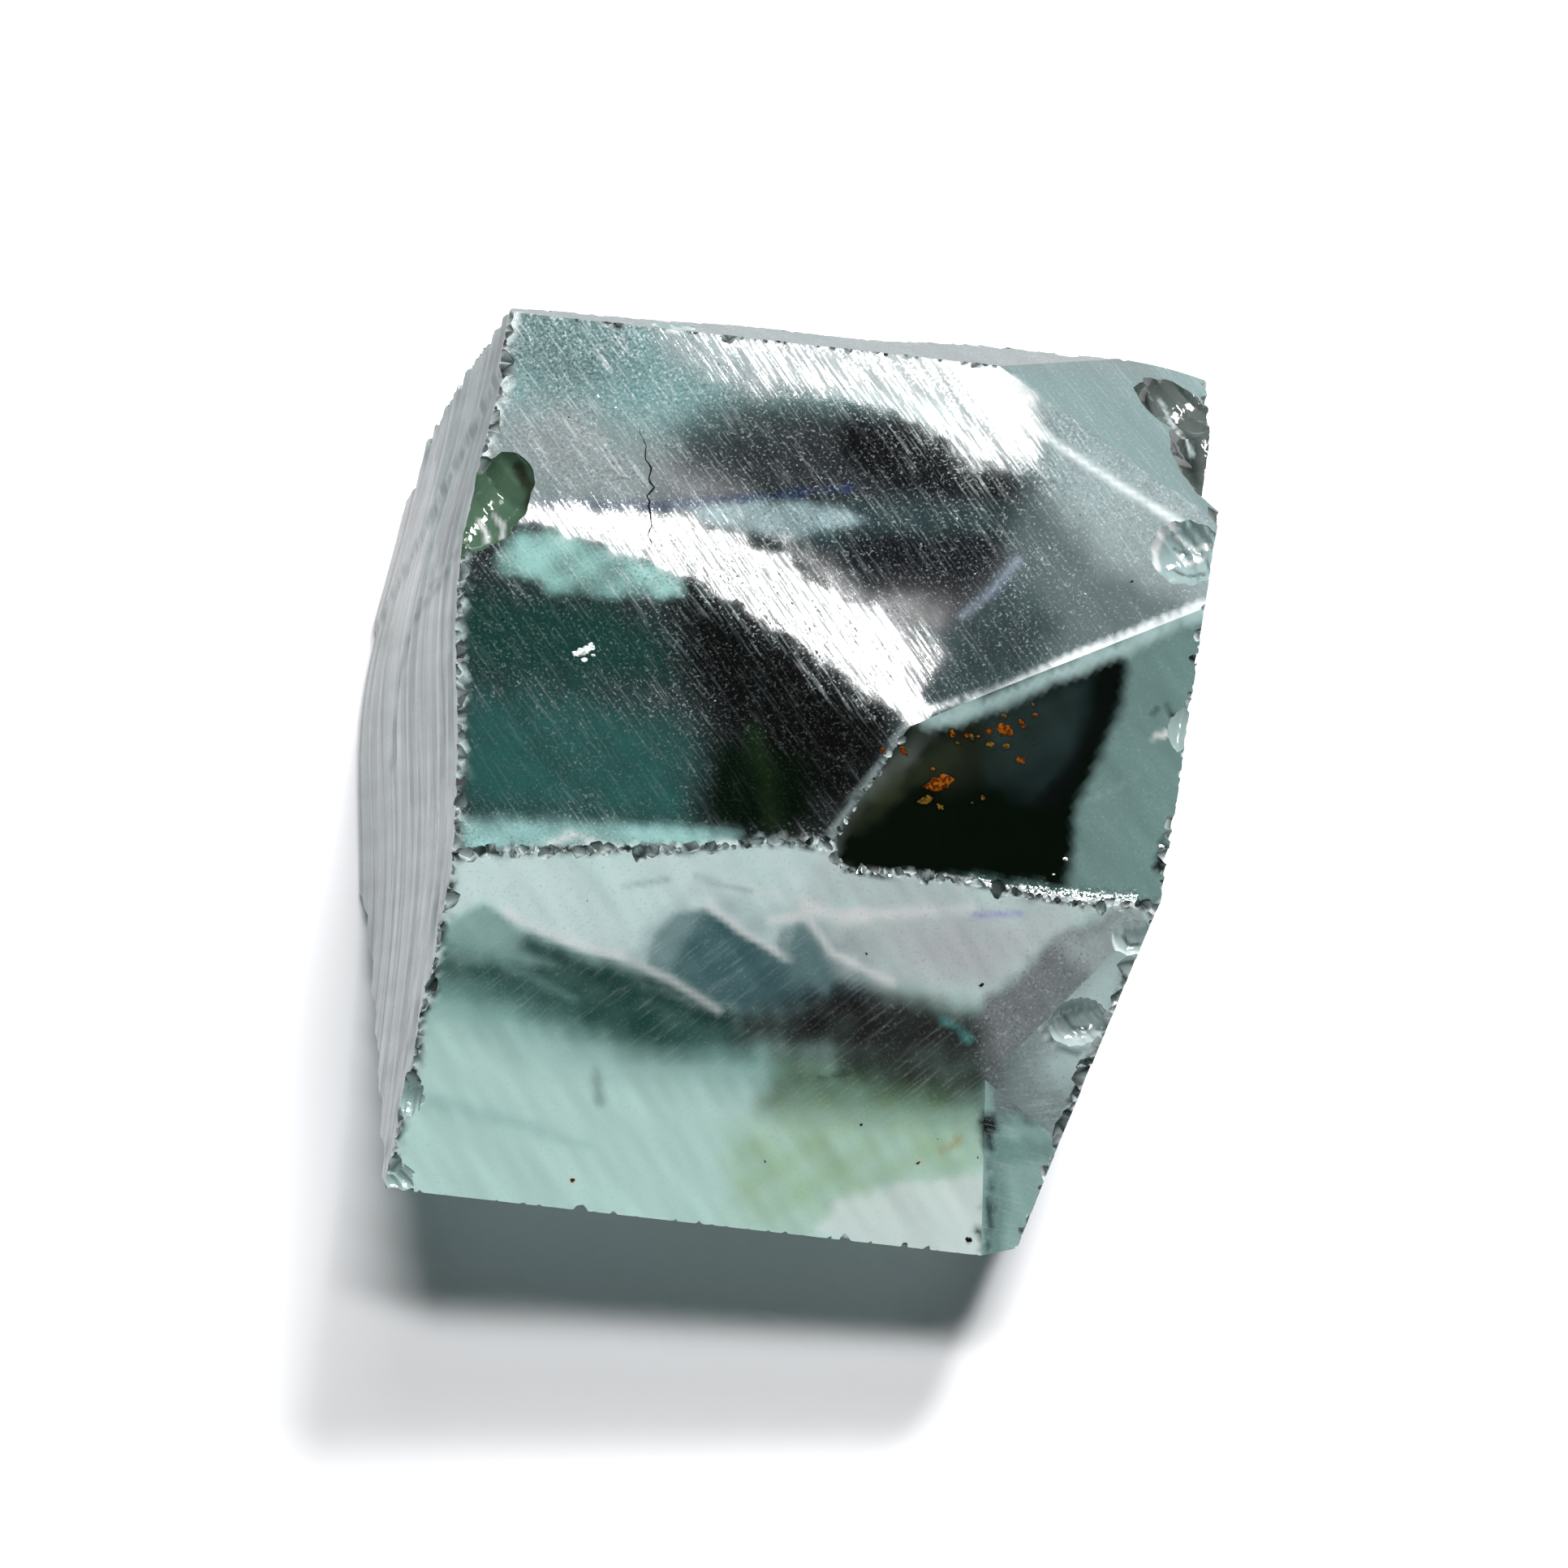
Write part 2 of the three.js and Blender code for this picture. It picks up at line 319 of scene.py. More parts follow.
@dataclass
class StoneShape:
    """Builds the stone's surface: plane facets, then their reliefs, as one closed mesh.

    Attributes:
        notch: Two facets that meet in a hollow fold.
        blank: Side of the blank that is cut, in millimetres.
        plane_gap: How close to a cutting plane a point counts as on it.
        merge_gap, weld_gap: How close two points count as one, in the blank and in a facet's filling.
        rounds: How many times points are moved towards the surfaces that they lie on.
        probe: How far apart the surfaces' slopes are taken.
        faintest: Least share of the strongest slope that still moves a point.
        row_rise, rim_gap: A row's height and the gap to the rim, as shares of a triangle's side.
    """

    facets: tuple[Facet, ...] = FACETS
    wing: Facet = wing_plane
    notch: tuple[Facet, ...] = NOTCH
    blank: float = 60.0
    shortest_edge: float = 0.35
    plane_gap: float = 1e-6
    merge_gap: float = 1e-4
    weld_gap: float = 1e-7
    flat_angle: float = 0.3
    rounds: int = 12
    probe: float = 1e-3
    faintest: float = 0.02
    longest_move: float = 0.5
    row_rise: float = 0.866
    rim_gap: float = 0.55

    def all_facets(self) -> list[Facet]:
        """Every facet, the notch's among them."""
        return [*self.facets, *self.notch]

    def facet(self, name: str) -> Facet:
        """The facet of that name."""
        return next(facet for facet in self.all_facets() if facet.name == name)

    def cut(self, mesh: bmesh.types.BMesh, facet: Facet, keep_inside: bool = True) -> None:
        """Cuts a closed blank along a facet's plane and closes it again.

        Args:
            mesh: The blank.
            facet: The facet to cut along.
            keep_inside: Whether the part inside the facet is the part that stays.
        """
        cut = bmesh.ops.bisect_plane(
            mesh, geom=mesh.verts[:] + mesh.edges[:] + mesh.faces[:], dist=self.plane_gap,
            plane_co=Vector(facet.corner), plane_no=Vector(facet.normal),
            clear_outer=keep_inside, clear_inner=not keep_inside)
        rim = [item for item in cut["geom_cut"] if isinstance(item, bmesh.types.BMEdge)]
        bmesh.ops.contextual_create(mesh, geom=rim)

    def blank_mesh(self, name: str, inside: tuple[Facet, ...],
                   outside: tuple[Facet, ...] = ()) -> Item:
        """A blank cut by planes, as an object.

        Args:
            name: The object's name.
            inside: Facets whose inner part stays.
            outside: Facets whose outer part stays.

        Returns:
            The object, in millimetres.
        """
        mesh = bmesh.new()
        bmesh.ops.create_cube(mesh, size=self.blank)
        for facet in inside:
            self.cut(mesh, facet)
        for facet in outside:
            self.cut(mesh, facet, keep_inside=False)
        bmesh.ops.recalc_face_normals(mesh, faces=mesh.faces[:])
        return object_from(mesh, name)

    def polyhedron(self) -> bmesh.types.BMesh:
        """The stone with plane facets, one polygon for each."""
        block = self.blank_mesh("block", (*self.facets, self.wing))
        wedge = self.blank_mesh("wedge", (), self.notch)
        apply_boolean(block, wedge, "EXACT")
        mesh = bmesh.new()
        mesh.from_mesh(block.data)
        for item in (block, wedge):
            bpy.data.objects.remove(item)
        bmesh.ops.remove_doubles(mesh, verts=mesh.verts[:], dist=self.merge_gap)
        bmesh.ops.dissolve_limit(
            mesh, angle_limit=radians(self.flat_angle), verts=mesh.verts[:], edges=mesh.edges[:])
        bmesh.ops.remove_doubles(mesh, verts=mesh.verts[:], dist=self.shortest_edge)
        fold = [edge for edge in mesh.edges if all(self.facet_of(face) == 0 for face in edge.link_faces)]
        bmesh.ops.dissolve_edges(mesh, edges=fold, use_verts=False)
        return mesh

    def facet_of(self, face: bmesh.types.BMFace) -> int:
        """The number of the facet that a polygon lies on. The wing counts as part of the satin top."""
        corners = np.array([list(v.co) for v in face.verts])
        spread = [float(np.abs(f.above_plane(corners)).mean()) for f in (*self.all_facets(), self.wing)]
        return int(np.argmin(spread)) % len(self.all_facets())

    def settle(self, points: Array, members: list[set[int]]) -> Array:
        """Moves points on the edges and corners onto the real surfaces that meet there.

        Args:
            points: The points, in millimetres.
            members: For each point, the numbers of the facets that it lies on.

        Returns:
            The moved points.
        """
        facets = self.all_facets()
        points = points.copy()
        steps = self.probe * np.eye(3)
        for _ in range(self.rounds):
            heights = np.stack([f.above(points) for f in facets], 1)
            slopes = np.stack(
                [np.stack([(f.above(points + step) - heights[:, i]) / self.probe for step in steps], 1)
                 for i, f in enumerate(facets)], 1)
            for row, on in enumerate(members):
                picked = sorted(on)
                move = np.linalg.pinv(slopes[row, picked], rcond=self.faintest) @ heights[row, picked]
                points[row] -= move * min(1.0, self.longest_move / max(np.linalg.norm(move), TINY))
        return points

    def build(self) -> tuple[Array, list[Corners], Edges]:
        """The stone's points and triangles, and the lines where its facets meet.

        Returns:
            Points in millimetres, triangles, and for each pair of facets the points of their edge.
        """
        facets = self.all_facets()
        poly = self.polyhedron()
        poly.verts.ensure_lookup_table()
        poly.edges.ensure_lookup_table()
        poly.verts.index_update()
        poly.edges.index_update()
        number = {face: self.facet_of(face) for face in poly.faces}
        corners = np.array([list(v.co) for v in poly.verts])
        corner_members = [{number[f] for f in v.link_faces} for v in poly.verts]
        corners = self.settle(corners, corner_members)
        points = [*corners]
        run_of: dict[int, list[int]] = {}
        edge_members: list[set[int]] = []
        for edge in poly.edges:
            pair = {number[f] for f in edge.link_faces}
            cell = min(facets[i].cell for i in pair)
            start, end = corners[edge.verts[0].index], corners[edge.verts[1].index]
            count = max(1, int(round(np.linalg.norm(end - start) / cell)))
            first = len(points)
            points += [start + (end - start) * k / count for k in range(1, count)]
            edge_members += [pair] * (count - 1)
            run_of[edge.index] = [edge.verts[0].index, *range(first, first + count - 1), edge.verts[1].index]
        base = len(corners)
        settled = self.settle(np.array(points[base:]), edge_members)
        points[base:] = list(settled)
        for run in run_of.values():
            start, end = points[run[0]], points[run[-1]]
            inner = (points[i] for i in run[1:-1])
            ordered = sorted(inner, key=lambda spot: float((spot - start) @ (end - start)))
            for i, spot in zip(run[1:-1], ordered):
                points[i] = spot
        triangles: list[Corners] = []
        edges: Edges = {}
        for edge in poly.edges:
            pair = frozenset(facets[number[f]].name for f in edge.link_faces)
            edges[pair] = np.array([points[i] for i in run_of[edge.index]])
        for face in poly.faces:
            loop: list[int] = []
            for corner in face.loops:
                run = run_of[corner.edge.index]
                loop += run[:-1] if run[0] == corner.vert.index else run[:0:-1]
            self.fill(facets[number[face]], loop, points, triangles)
        poly.free()
        return np.array(points), triangles, edges

    def fill(self, facet: Facet, loop: list[int], points: list[Array],
             triangles: list[Corners]) -> None:
        """Fills one facet's outline with even triangles that lie on its real surface.

        Args:
            facet: The facet.
            loop: The numbers of its outline's points, in order.
            points: All points so far, to which the inner points are added.
            triangles: All triangles so far, to which the new ones are added.
        """
        side, up = facet.axes()
        middle = np.array(facet.corner)
        rim = facet.on_plane(np.array([points[i] for i in loop]))
        flat = np.stack([(rim - middle) @ side, (rim - middle) @ up], 1)
        inner = self.inner_points(flat, facet.cell)
        feet = middle + inner[:, :1] * side + inner[:, 1:] * up
        lift = facet.relief(feet) if facet.relief else np.zeros(len(feet))
        first = len(points)
        points += list(feet + lift[:, None] * facet.normal)
        numbers = [*loop, *range(first, first + len(inner))]
        spots = [Vector(spot) for spot in np.vstack([flat, inner])]
        sides = [(i, (i + 1) % len(loop)) for i in range(len(loop))]
        _, _, faces, origin, _, _ = delaunay_2d_cdt(spots, sides, [], 1, self.weld_gap)
        for triangle in faces:
            a, b, c = (numbers[origin[i][0]] for i in triangle)
            triangles.append((a, b, c))

    def inner_points(self, outline: Array, cell: float) -> Array:
        """A staggered grid of points inside an outline, clear of its rim.

        Args:
            outline: The outline's points in the plane.
            cell: Spacing of the grid.

        Returns:
            The points in the plane.
        """
        low, high = outline.min(0), outline.max(0)
        rows = np.arange(low[1], high[1], cell * self.row_rise)
        spots = []
        for k, y in enumerate(rows):
            xs = np.arange(low[0] + 0.5 * cell * (k % 2), high[0], cell)
            spots.append(np.stack([xs, np.full(len(xs), y)], 1))
        grid = np.vstack(spots)
        start, end = outline, np.roll(outline, -1, 0)
        inside = np.zeros(len(grid), bool)
        near = np.full(len(grid), np.inf)
        for a, b in zip(start, end):
            along = b - a
            crosses = (a[1] > grid[:, 1]) != (b[1] > grid[:, 1])
            if abs(along[1]) > TINY:
                reach = a[0] + (grid[:, 1] - a[1]) * along[0] / along[1]
                inside ^= crosses & (grid[:, 0] < reach)
            share = np.clip(((grid - a) @ along) / max(along @ along, TINY), 0, 1)
            near = np.minimum(near, np.linalg.norm(grid - (a + share[:, None] * along), axis=1))
        return grid[inside & (near > self.rim_gap * cell)]


# A break's fine ripples, and how the balls that crush an edge are crumpled.
FINE_RIPPLE_SHARE = 0.4
FINE_RIPPLE_TURNS = 4.6
FINE_RIPPLE_START = 1.0
CRUMPLES = (12.9, 37.7, 19.1)
CRUMPLE_SHIFT = 100
# How near its ball's skin a spot counts as a chip's own, and the gap between chips taken at once.
NEAR_BREAK = 0.15
CHIP_GAP = 0.02


@dataclass(frozen=True)
class Chip:
    """A shell-shaped scoop out of the stone, in its own layout's millimetres.

    Attributes:
        centre, radii: The ball that is taken away.
        lean: How far it is turned about the vertical, in degrees.
        ripple, spacing: Height and distance of the ripples on the break.
        start: Direction from the middle to the blow that the ripples spread from.
    """

    centre: Triple
    radii: Triple
    lean: float = 0.0
    ripple: float = 0.03
    spacing: float = 0.4
    start: Triple = (1.0, 0.0, 0.0)
    tint: Triple = (0.40, 0.52, 0.50)

    def near(self, spots: Array) -> Array:
        """Which of the spots lie on the break, by the ball that made it."""
        turn = np.array(Matrix.Rotation(radians(-self.lean), 3, "Z"))
        reach = np.linalg.norm((spots - np.array(self.centre)) @ turn.T / np.array(self.radii), axis=1)
        return np.abs(reach - 1) < NEAR_BREAK

    def ball(self, mesh: bmesh.types.BMesh, fineness: int, jagged: float = 0.0) -> None:
        """Adds the rippled ball to a mesh.

        Args:
            mesh: The cutter's mesh.
            fineness: How often the ball's faces are divided.
            jagged: How far its corners are moved in and out, as a share of its size.
        """
        made = bmesh.ops.create_icosphere(mesh, subdivisions=fineness, radius=1.0)
        turn = Matrix.Rotation(radians(self.lean), 3, "Z")
        blow = turn @ Vector([a * b for a, b in zip(Vector(self.start).normalized(), self.radii)])
        for vert in made["verts"]:
            spot = turn @ Vector([a * b for a, b in zip(vert.co, self.radii)])
            away = (spot - blow).length
            wave = sin(2 * pi * away / self.spacing)
            fine = sin(FINE_RIPPLE_TURNS * pi * away / self.spacing + FINE_RIPPLE_START)
            crumple = sum(a * b for a, b in zip(CRUMPLES, vert.co)) + CRUMPLE_SHIFT * self.centre[0]
            step = wave + FINE_RIPPLE_SHARE * fine
            jag = jagged * sin(crumple)
            vert.co = spot * (1 + jag - self.ripple * step / max(self.radii)) + Vector(self.centre)


CHIPS: tuple[Chip, ...] = (
    Chip((-9.55, 6.25, 14.0), (1.2, 2.05, 1.3), -20, 0.05, 0.7, (-0.6, -0.8, 0.0), (0.10, 0.175, 0.11)),
    Chip((12.2, 8.4, 12.5), (1.55, 1.4, 1.65), 20, 0.04, 0.3, (1.0, 0.3, 0.3), (0.42, 0.55, 0.55)),
    Chip((12.6, 12.8, 10.1), (1.5, 3.1, 1.5), 12, 0.07, 0.42, (0.9, 0.5, 0.0), (0.12, 0.14, 0.13)),
    Chip((11.6, 15.1, 9.3), (1.9, 1.6, 1.6), 30, 0.06, 0.5, (0.9, 0.5, 0.0), (0.14, 0.16, 0.15)),
    Chip((12.7, 2.6, 11.9), (0.9, 1.3, 1.1), 0, 0.04, 0.4),
    Chip((12.3, -4.5, 10.9), (1.1, 0.8, 1.0), 0, 0.025, 0.26, (1.0, 0.3, 0.0), (0.52, 0.66, 0.65)),
    Chip((10.75, -6.85, 9.15), (1.0, 0.8, 0.85), 10, 0.025, 0.24, (0.8, 0.6, 0.0), (0.60, 0.72, 0.71)),
    Chip((-4.9, 13.9, 13.1), (1.2, 0.8, 1.0), 0, 0.05, 0.35, (0.3, 1.0, 0.0)),
    Chip((-9.5, -12.5, 9.95), (0.6, 0.75, 0.62), 0, 0.04, 0.2, (1.0, 0.0, 0.0), (0.45, 0.60, 0.58)),
    Chip((-9.4, -14.8, 9.1), (0.9, 0.65, 0.75), 0, 0.04, 0.25, (0.5, 0.5, 0.5), (0.45, 0.60, 0.58)),
    Chip((10.4, 15.2, -0.2), (2.4, 2.2, 2.0), 0, 0.05, 0.6),
    Chip((-13.4, 13.4, -0.3), (1.8, 2.0, 2.2), 0, 0.05, 0.6, (-1.0, 0.0, 0.0)),
    Chip((10.6, -2.6, -0.4), (1.8, 2.4, 1.7), 0, 0.05, 0.6),
    Chip((1.5, 15.3, 0.2), (2.6, 1.5, 1.4), 0, 0.05, 0.6, (0.0, 1.0, 0.0)),
)


@dataclass(frozen=True)
class CrushedEdge:
    """A row of small overlapping chips along an edge of the stone.

    Attributes:
        between: The two facets that meet there.
        spacing: Distance from chip to chip, in millimetres.
        sizes: A chip's least and largest half-length.
        outward: How far the chips' middles stand off the edge, as a share of their size.
        stretch: Where the row starts and ends, as shares of the edge.
        bruise: Width of the dark and pale line along the edge.
        stray: How far a chip strays along the edge, as a share of the spacing.
        off_range, shapes: How far a chip's standing off and its half-lengths vary, as factors.
        jitter, ripple, ripple_spacing: Shares of a chip's size.
    """

    between: tuple[str, str]
    spacing: float
    sizes: Pair
    outward: float = 0.45
    stretch: Pair = (0.0, 1.0)
    bruise: float = 0.0
    stray: float = 0.3
    off_range: Pair = (0.5, 1.3)
    jitter: float = 0.25
    shapes: Pair = (0.7, 1.4)
    ripple: float = 0.06
    ripple_spacing: float = 0.5

    def chips(self, line: Array, normal: Array, random: np.random.Generator) -> list[Chip]:
        """The row's chips.

        Args:
            line: The edge's points in order.
            normal: Direction out of the stone at the edge.
            random: The source of the chips' differences.

        Returns:
            The chips, in order along the edge.
        """
        lengths = np.linalg.norm(np.diff(line, axis=0), axis=1)
        reach = np.concatenate([[0.0], np.cumsum(lengths)])
        start, end = (share * reach[-1] for share in self.stretch)
        chips = []
        for at in np.arange(start, end, self.spacing):
            at += random.uniform(-self.stray, self.stray) * self.spacing
            spot = np.array([np.interp(at, reach, line[:, axis]) for axis in range(3)])
            size = self.sizes[0] + (self.sizes[1] - self.sizes[0]) * random.random() ** 2
            off = self.outward * size * random.uniform(*self.off_range)
            jitter = random.normal(0.0, self.jitter * size, 3)
            radii = tuple(float(size * random.uniform(*self.shapes)) for _ in range(3))
            blow = tuple(float(part) for part in random.normal(0.0, 1.0, 3))
            turn = float(random.uniform(0, 180))
            chips.append(Chip(tuple(spot + normal * off + jitter), radii, turn, self.ripple * size,
                              self.ripple_spacing * size, blow))
        return chips


CRUSHED_EDGES: tuple[CrushedEdge, ...] = (
    CrushedEdge(("satin_top", "left_prism"), 0.17, (0.14, 0.5), bruise=0.35),
    CrushedEdge(("front_slope", "left_prism"), 0.2, (0.12, 0.5), bruise=0.3),
    CrushedEdge(("satin_top", "front_slope"), 0.15, (0.10, 0.28), bruise=0.2),
    CrushedEdge(("glassy_hollow", "front_slope"), 0.17, (0.10, 0.32), bruise=0.15),
    CrushedEdge(("satin_top", "glassy_hollow"), 0.3, (0.08, 0.2)),
    CrushedEdge(("glassy_hollow", "right_prism"), 0.35, (0.12, 0.4)),
    CrushedEdge(("notch_upper", "right_break"), 0.25, (0.15, 0.55), bruise=0.3),
    CrushedEdge(("notch_lower", "right_break"), 0.3, (0.12, 0.35)),
    CrushedEdge(("corner_bevel", "right_prism"), 0.35, (0.15, 0.5)),
    CrushedEdge(("satin_top", "back_bevel"), 0.35, (0.08, 0.25)),
    CrushedEdge(("back_bevel", "back"), 0.4, (0.12, 0.4)),
    CrushedEdge(("left_prism", "back"), 0.5, (0.15, 0.5)),
    CrushedEdge(("front_slope", "underside"), 0.6, (0.08, 0.25)),
    CrushedEdge(("base", "underside"), 0.7, (0.15, 0.6)),
    CrushedEdge(("base", "back"), 0.7, (0.15, 0.6)),
)


@dataclass
class Breakage:
    """Knocks the single chips and the crushed edges out of the stone.

    Attributes:
        batches: How many batches the rows are taken in, so that the chips of one batch don't touch.
        fineness, single_fineness: How often the faces of a small and of a single chip are divided.
        jagged: How far the small chips are crumpled, as a share of their size.
    """

    chips: tuple[Chip, ...] = CHIPS
    crushed: tuple[CrushedEdge, ...] = CRUSHED_EDGES
    seed: int = 7
    batches: int = 6
    fineness: int = 1
    single_fineness: int = 5
    jagged: float = 0.28

    def knock(self, stone: Item, shape: StoneShape,
              edges: Edges) -> None:
        """Takes every chip away from the stone.

        Args:
            stone: The whole stone, in millimetres.
            shape: Where its facets are.
            edges: The lines where they meet.
        """
        random = np.random.default_rng(self.seed)
        facing = {facet.name: facet.normal for facet in shape.all_facets()}
        rows = [row.chips(edges[frozenset(row.between)], unit(sum(facing[n] for n in row.between)), random)
                for row in self.crushed]
        for turn in range(self.batches):
            batch = [chip for row in rows for chip in row[turn::self.batches]]
            self.take(stone, apart(batch), self.fineness, self.jagged)
        for turn in range(2):
            self.take(stone, list(self.chips[turn::2]), self.single_fineness)

    @staticmethod
    def take(stone: Item, chips: list[Chip], fineness: int, jagged: float = 0.0) -> None:
        """Takes one batch of chips that don't touch each other."""
        mesh = bmesh.new()
        for chip in chips:
            chip.ball(mesh, fineness, jagged)
        cutter = object_from(mesh, "cutter")
        apply_boolean(stone, cutter, "MANIFOLD")
        bpy.data.objects.remove(cutter)


def unit(vector: Array) -> Array:
    """The vector at length 1."""
    return vector / np.linalg.norm(vector)


def apart(chips: list[Chip]) -> list[Chip]:
    """Those of the chips that don't reach an earlier one."""
    kept: list[Chip] = []
    for chip in chips:
        gaps = [dist(chip.centre, other.centre) - max(chip.radii) - max(other.radii) for other in kept]
        if all(gap > CHIP_GAP for gap in gaps):
            kept.append(chip)
    return kept


def object_from(mesh: bmesh.types.BMesh, name: str) -> Item:
    """Makes a scene object of a bmesh and frees the bmesh."""
    data = bpy.data.meshes.new(name)
    mesh.to_mesh(data)
    mesh.free()
    item = bpy.data.objects.new(name, data)
    bpy.context.scene.collection.objects.link(item)
    return item


def apply_boolean(item: Item, cutter: Item, solver: str) -> None:
    """Takes the cutter away from the item for good.

    Args:
        item: The object that is cut.
        cutter: The object that cuts.
        solver: Name of Blender's boolean solver.
    """
    modifier = item.modifiers.new("cut", "BOOLEAN")
    modifier.operation = "DIFFERENCE"
    modifier.object = cutter
    modifier.solver = solver
    graph = bpy.context.evaluated_depsgraph_get()
    data = bpy.data.meshes.new_from_object(item.evaluated_get(graph))
    item.modifiers.clear()
    item.data = data


class Nodes:
    """A short way to lay out a material's or a group's nodes."""

    def __init__(self, tree: bpy.types.NodeTree) -> None:
        """Takes the tree that nodes are added to."""
        self.tree = tree

    def add(self, kind: str, **settings: object) -> bpy.types.Node:
        """Adds a node and sets its properties.

        Args:
            kind: The node's type.
            settings: Its properties by name.

        Returns:
            The node.
        """
        node = self.tree.nodes.new(kind)
        for key, value in settings.items():
            setattr(node, key, value)
        return node

    def feed(self, socket: Socket, value: object) -> None:
        """Links an output to an input, or sets the input where the value is plain."""
        if isinstance(value, Socket):
            self.tree.links.new(value, socket)
        else:
            socket.default_value = value

    def math(self, operation: str, *values: object) -> Socket:
        """A Math node on the values."""
        node = self.add("ShaderNodeMath", operation=operation)
        for socket, value in zip(node.inputs, values):
            self.feed(socket, value)
        return node.outputs[0]

    def vector(self, operation: str, *values: object) -> Socket:
        """A Vector Math node on the values."""
        node = self.add("ShaderNodeVectorMath", operation=operation)
        for socket, value in zip(node.inputs, values):
            self.feed(socket, value)
        return node.outputs[0]

    def scale(self, value: object, factor: object) -> Socket:
        """A vector or colour made longer or brighter."""
        node = self.add("ShaderNodeVectorMath", operation="SCALE")
        self.feed(node.inputs[0], value)
        self.feed(node.inputs["Scale"], factor)
        return node.outputs[0]

    def grade(self, value: Socket, low: float, high: float) -> Socket:
        """A smooth rise from 0 to 1 while the value goes from low to high."""
        node = self.add("ShaderNodeMapRange", interpolation_type="SMOOTHSTEP")
        for name, item in zip(("Value", "From Min", "From Max"), (value, low, high)):
            self.feed(node.inputs[name], item)
        return node.outputs["Result"]

    def noise(self, place: Socket, size: Triple, detail: float = 2.0, roughness: float = 0.5,
              shift: float = 0.0) -> Socket:
        """Noise whose grains have a size in millimetres along each axis.

        Args:
            place: Where on the object, in metres.
            size: A grain's size along the axes, in millimetres.
            detail: How many finer layers it has.
            roughness: How strong the finer layers are.
            shift: An offset that gives another pattern.

        Returns:
            The noise's value.
        """
        scaled = self.vector("MULTIPLY", place, tuple(1 / MM / s for s in size))
        node = self.add("ShaderNodeTexNoise")
        self.feed(node.inputs["Vector"], self.vector("ADD", scaled, (shift, shift, shift)))
        for name, value in (("Scale", 1.0), ("Detail", detail), ("Roughness", roughness)):
            self.feed(node.inputs[name], value)
        return node.outputs["Fac"]

    def attribute(self, name: str, output: str = "Fac") -> Socket:
        """One of the mesh's own values."""
        return self.add("ShaderNodeAttribute", attribute_name=name).outputs[output]


@dataclass(frozen=True)
class Glass:
    """The stone's own clear blue-green substance and its skin.

    Attributes:
        clearness: Share of light that passes the skin, the rest being scattered by it.
        absorbed, density: Colour left after light has gone far through it, and how fast, per metre.
        pale: Colour of the bruised specks and scratches on the skin.
        scratch_size, grain_size, growth_size: Sizes of the three patterns, in millimetres.
        scratch_slope, grain_slope, growth_slope: How steep the deepest of each are.
        shake: How far grain and scratches change the way that light meets the skin.
        uneven, smoothest: How far the grain changes how matt it is, and the least that it may be.
        speck_limits, pit_limits: Where in the grain the pale specks and dark pits start and are full.
        streak_limits, line_limits: The same for pale scratches and for dark growth lines.
        pit_share, streak_share, line_share: How strong each of them is.
    """

    ior: float = 1.577
    clearness: float = 0.5
    absorbed: tuple[float, float, float, float] = (0.30, 0.72, 0.70, 1.0)
    density: float = 60.0
    pale: tuple[float, float, float, float] = (0.70, 0.76, 0.77, 1.0)
    scratch_size: Triple = (1.3, 0.09, 1.0)
    grain_size: Triple = (0.095, 0.095, 0.095)
    growth_size: Triple = (6.0, 12.0, 0.22)
    scratch_slope: float = 0.17
    grain_slope: Triple = (0.2, 0.2, 0.0)
    growth_slope: Triple = (0.0, 0.0, 0.9)
    shake: float = 1.7
    uneven: float = 0.3
    smoothest: float = 0.02
    speck_limits: Pair = (0.56, 0.70)
    pit_limits: Pair = (0.46, 0.32)
    pit_share: float = 0.6
    streak_limits: Pair = (0.50, 0.76)
    streak_share: float = 0.7
    line_limits: Pair = (0.5, 0.36)
    line_share: float = 0.3

    def make(self) -> bpy.types.Material:
        """The material, with its surface and its depth."""
        material = bpy.data.materials.new("aquamarine_glass")
        material.use_nodes = True
        tree = material.node_tree
        tree.nodes.clear()
        nodes = Nodes(tree)
        out = nodes.add("ShaderNodeOutputMaterial")
        surface_node = nodes.add("ShaderNodeBsdfPrincipled")
        nodes.feed(surface_node.inputs["IOR"], self.ior)
        nodes.feed(surface_node.inputs["Transmission Weight"], self.clearness)
        skin = Skin(self, nodes)
        nodes.feed(surface_node.inputs["Normal"], skin.normal())
        nodes.feed(surface_node.inputs["Roughness"], skin.roughness())
        nodes.feed(surface_node.inputs["Base Color"], skin.colour())
        depth = nodes.add("ShaderNodeVolumeAbsorption")
        depth.inputs["Color"].default_value = self.absorbed
        depth.inputs["Density"].default_value = self.density
        nodes.feed(out.inputs["Surface"], surface_node.outputs["BSDF"])
        nodes.feed(out.inputs["Volume"], depth.outputs["Volume"])
        return material


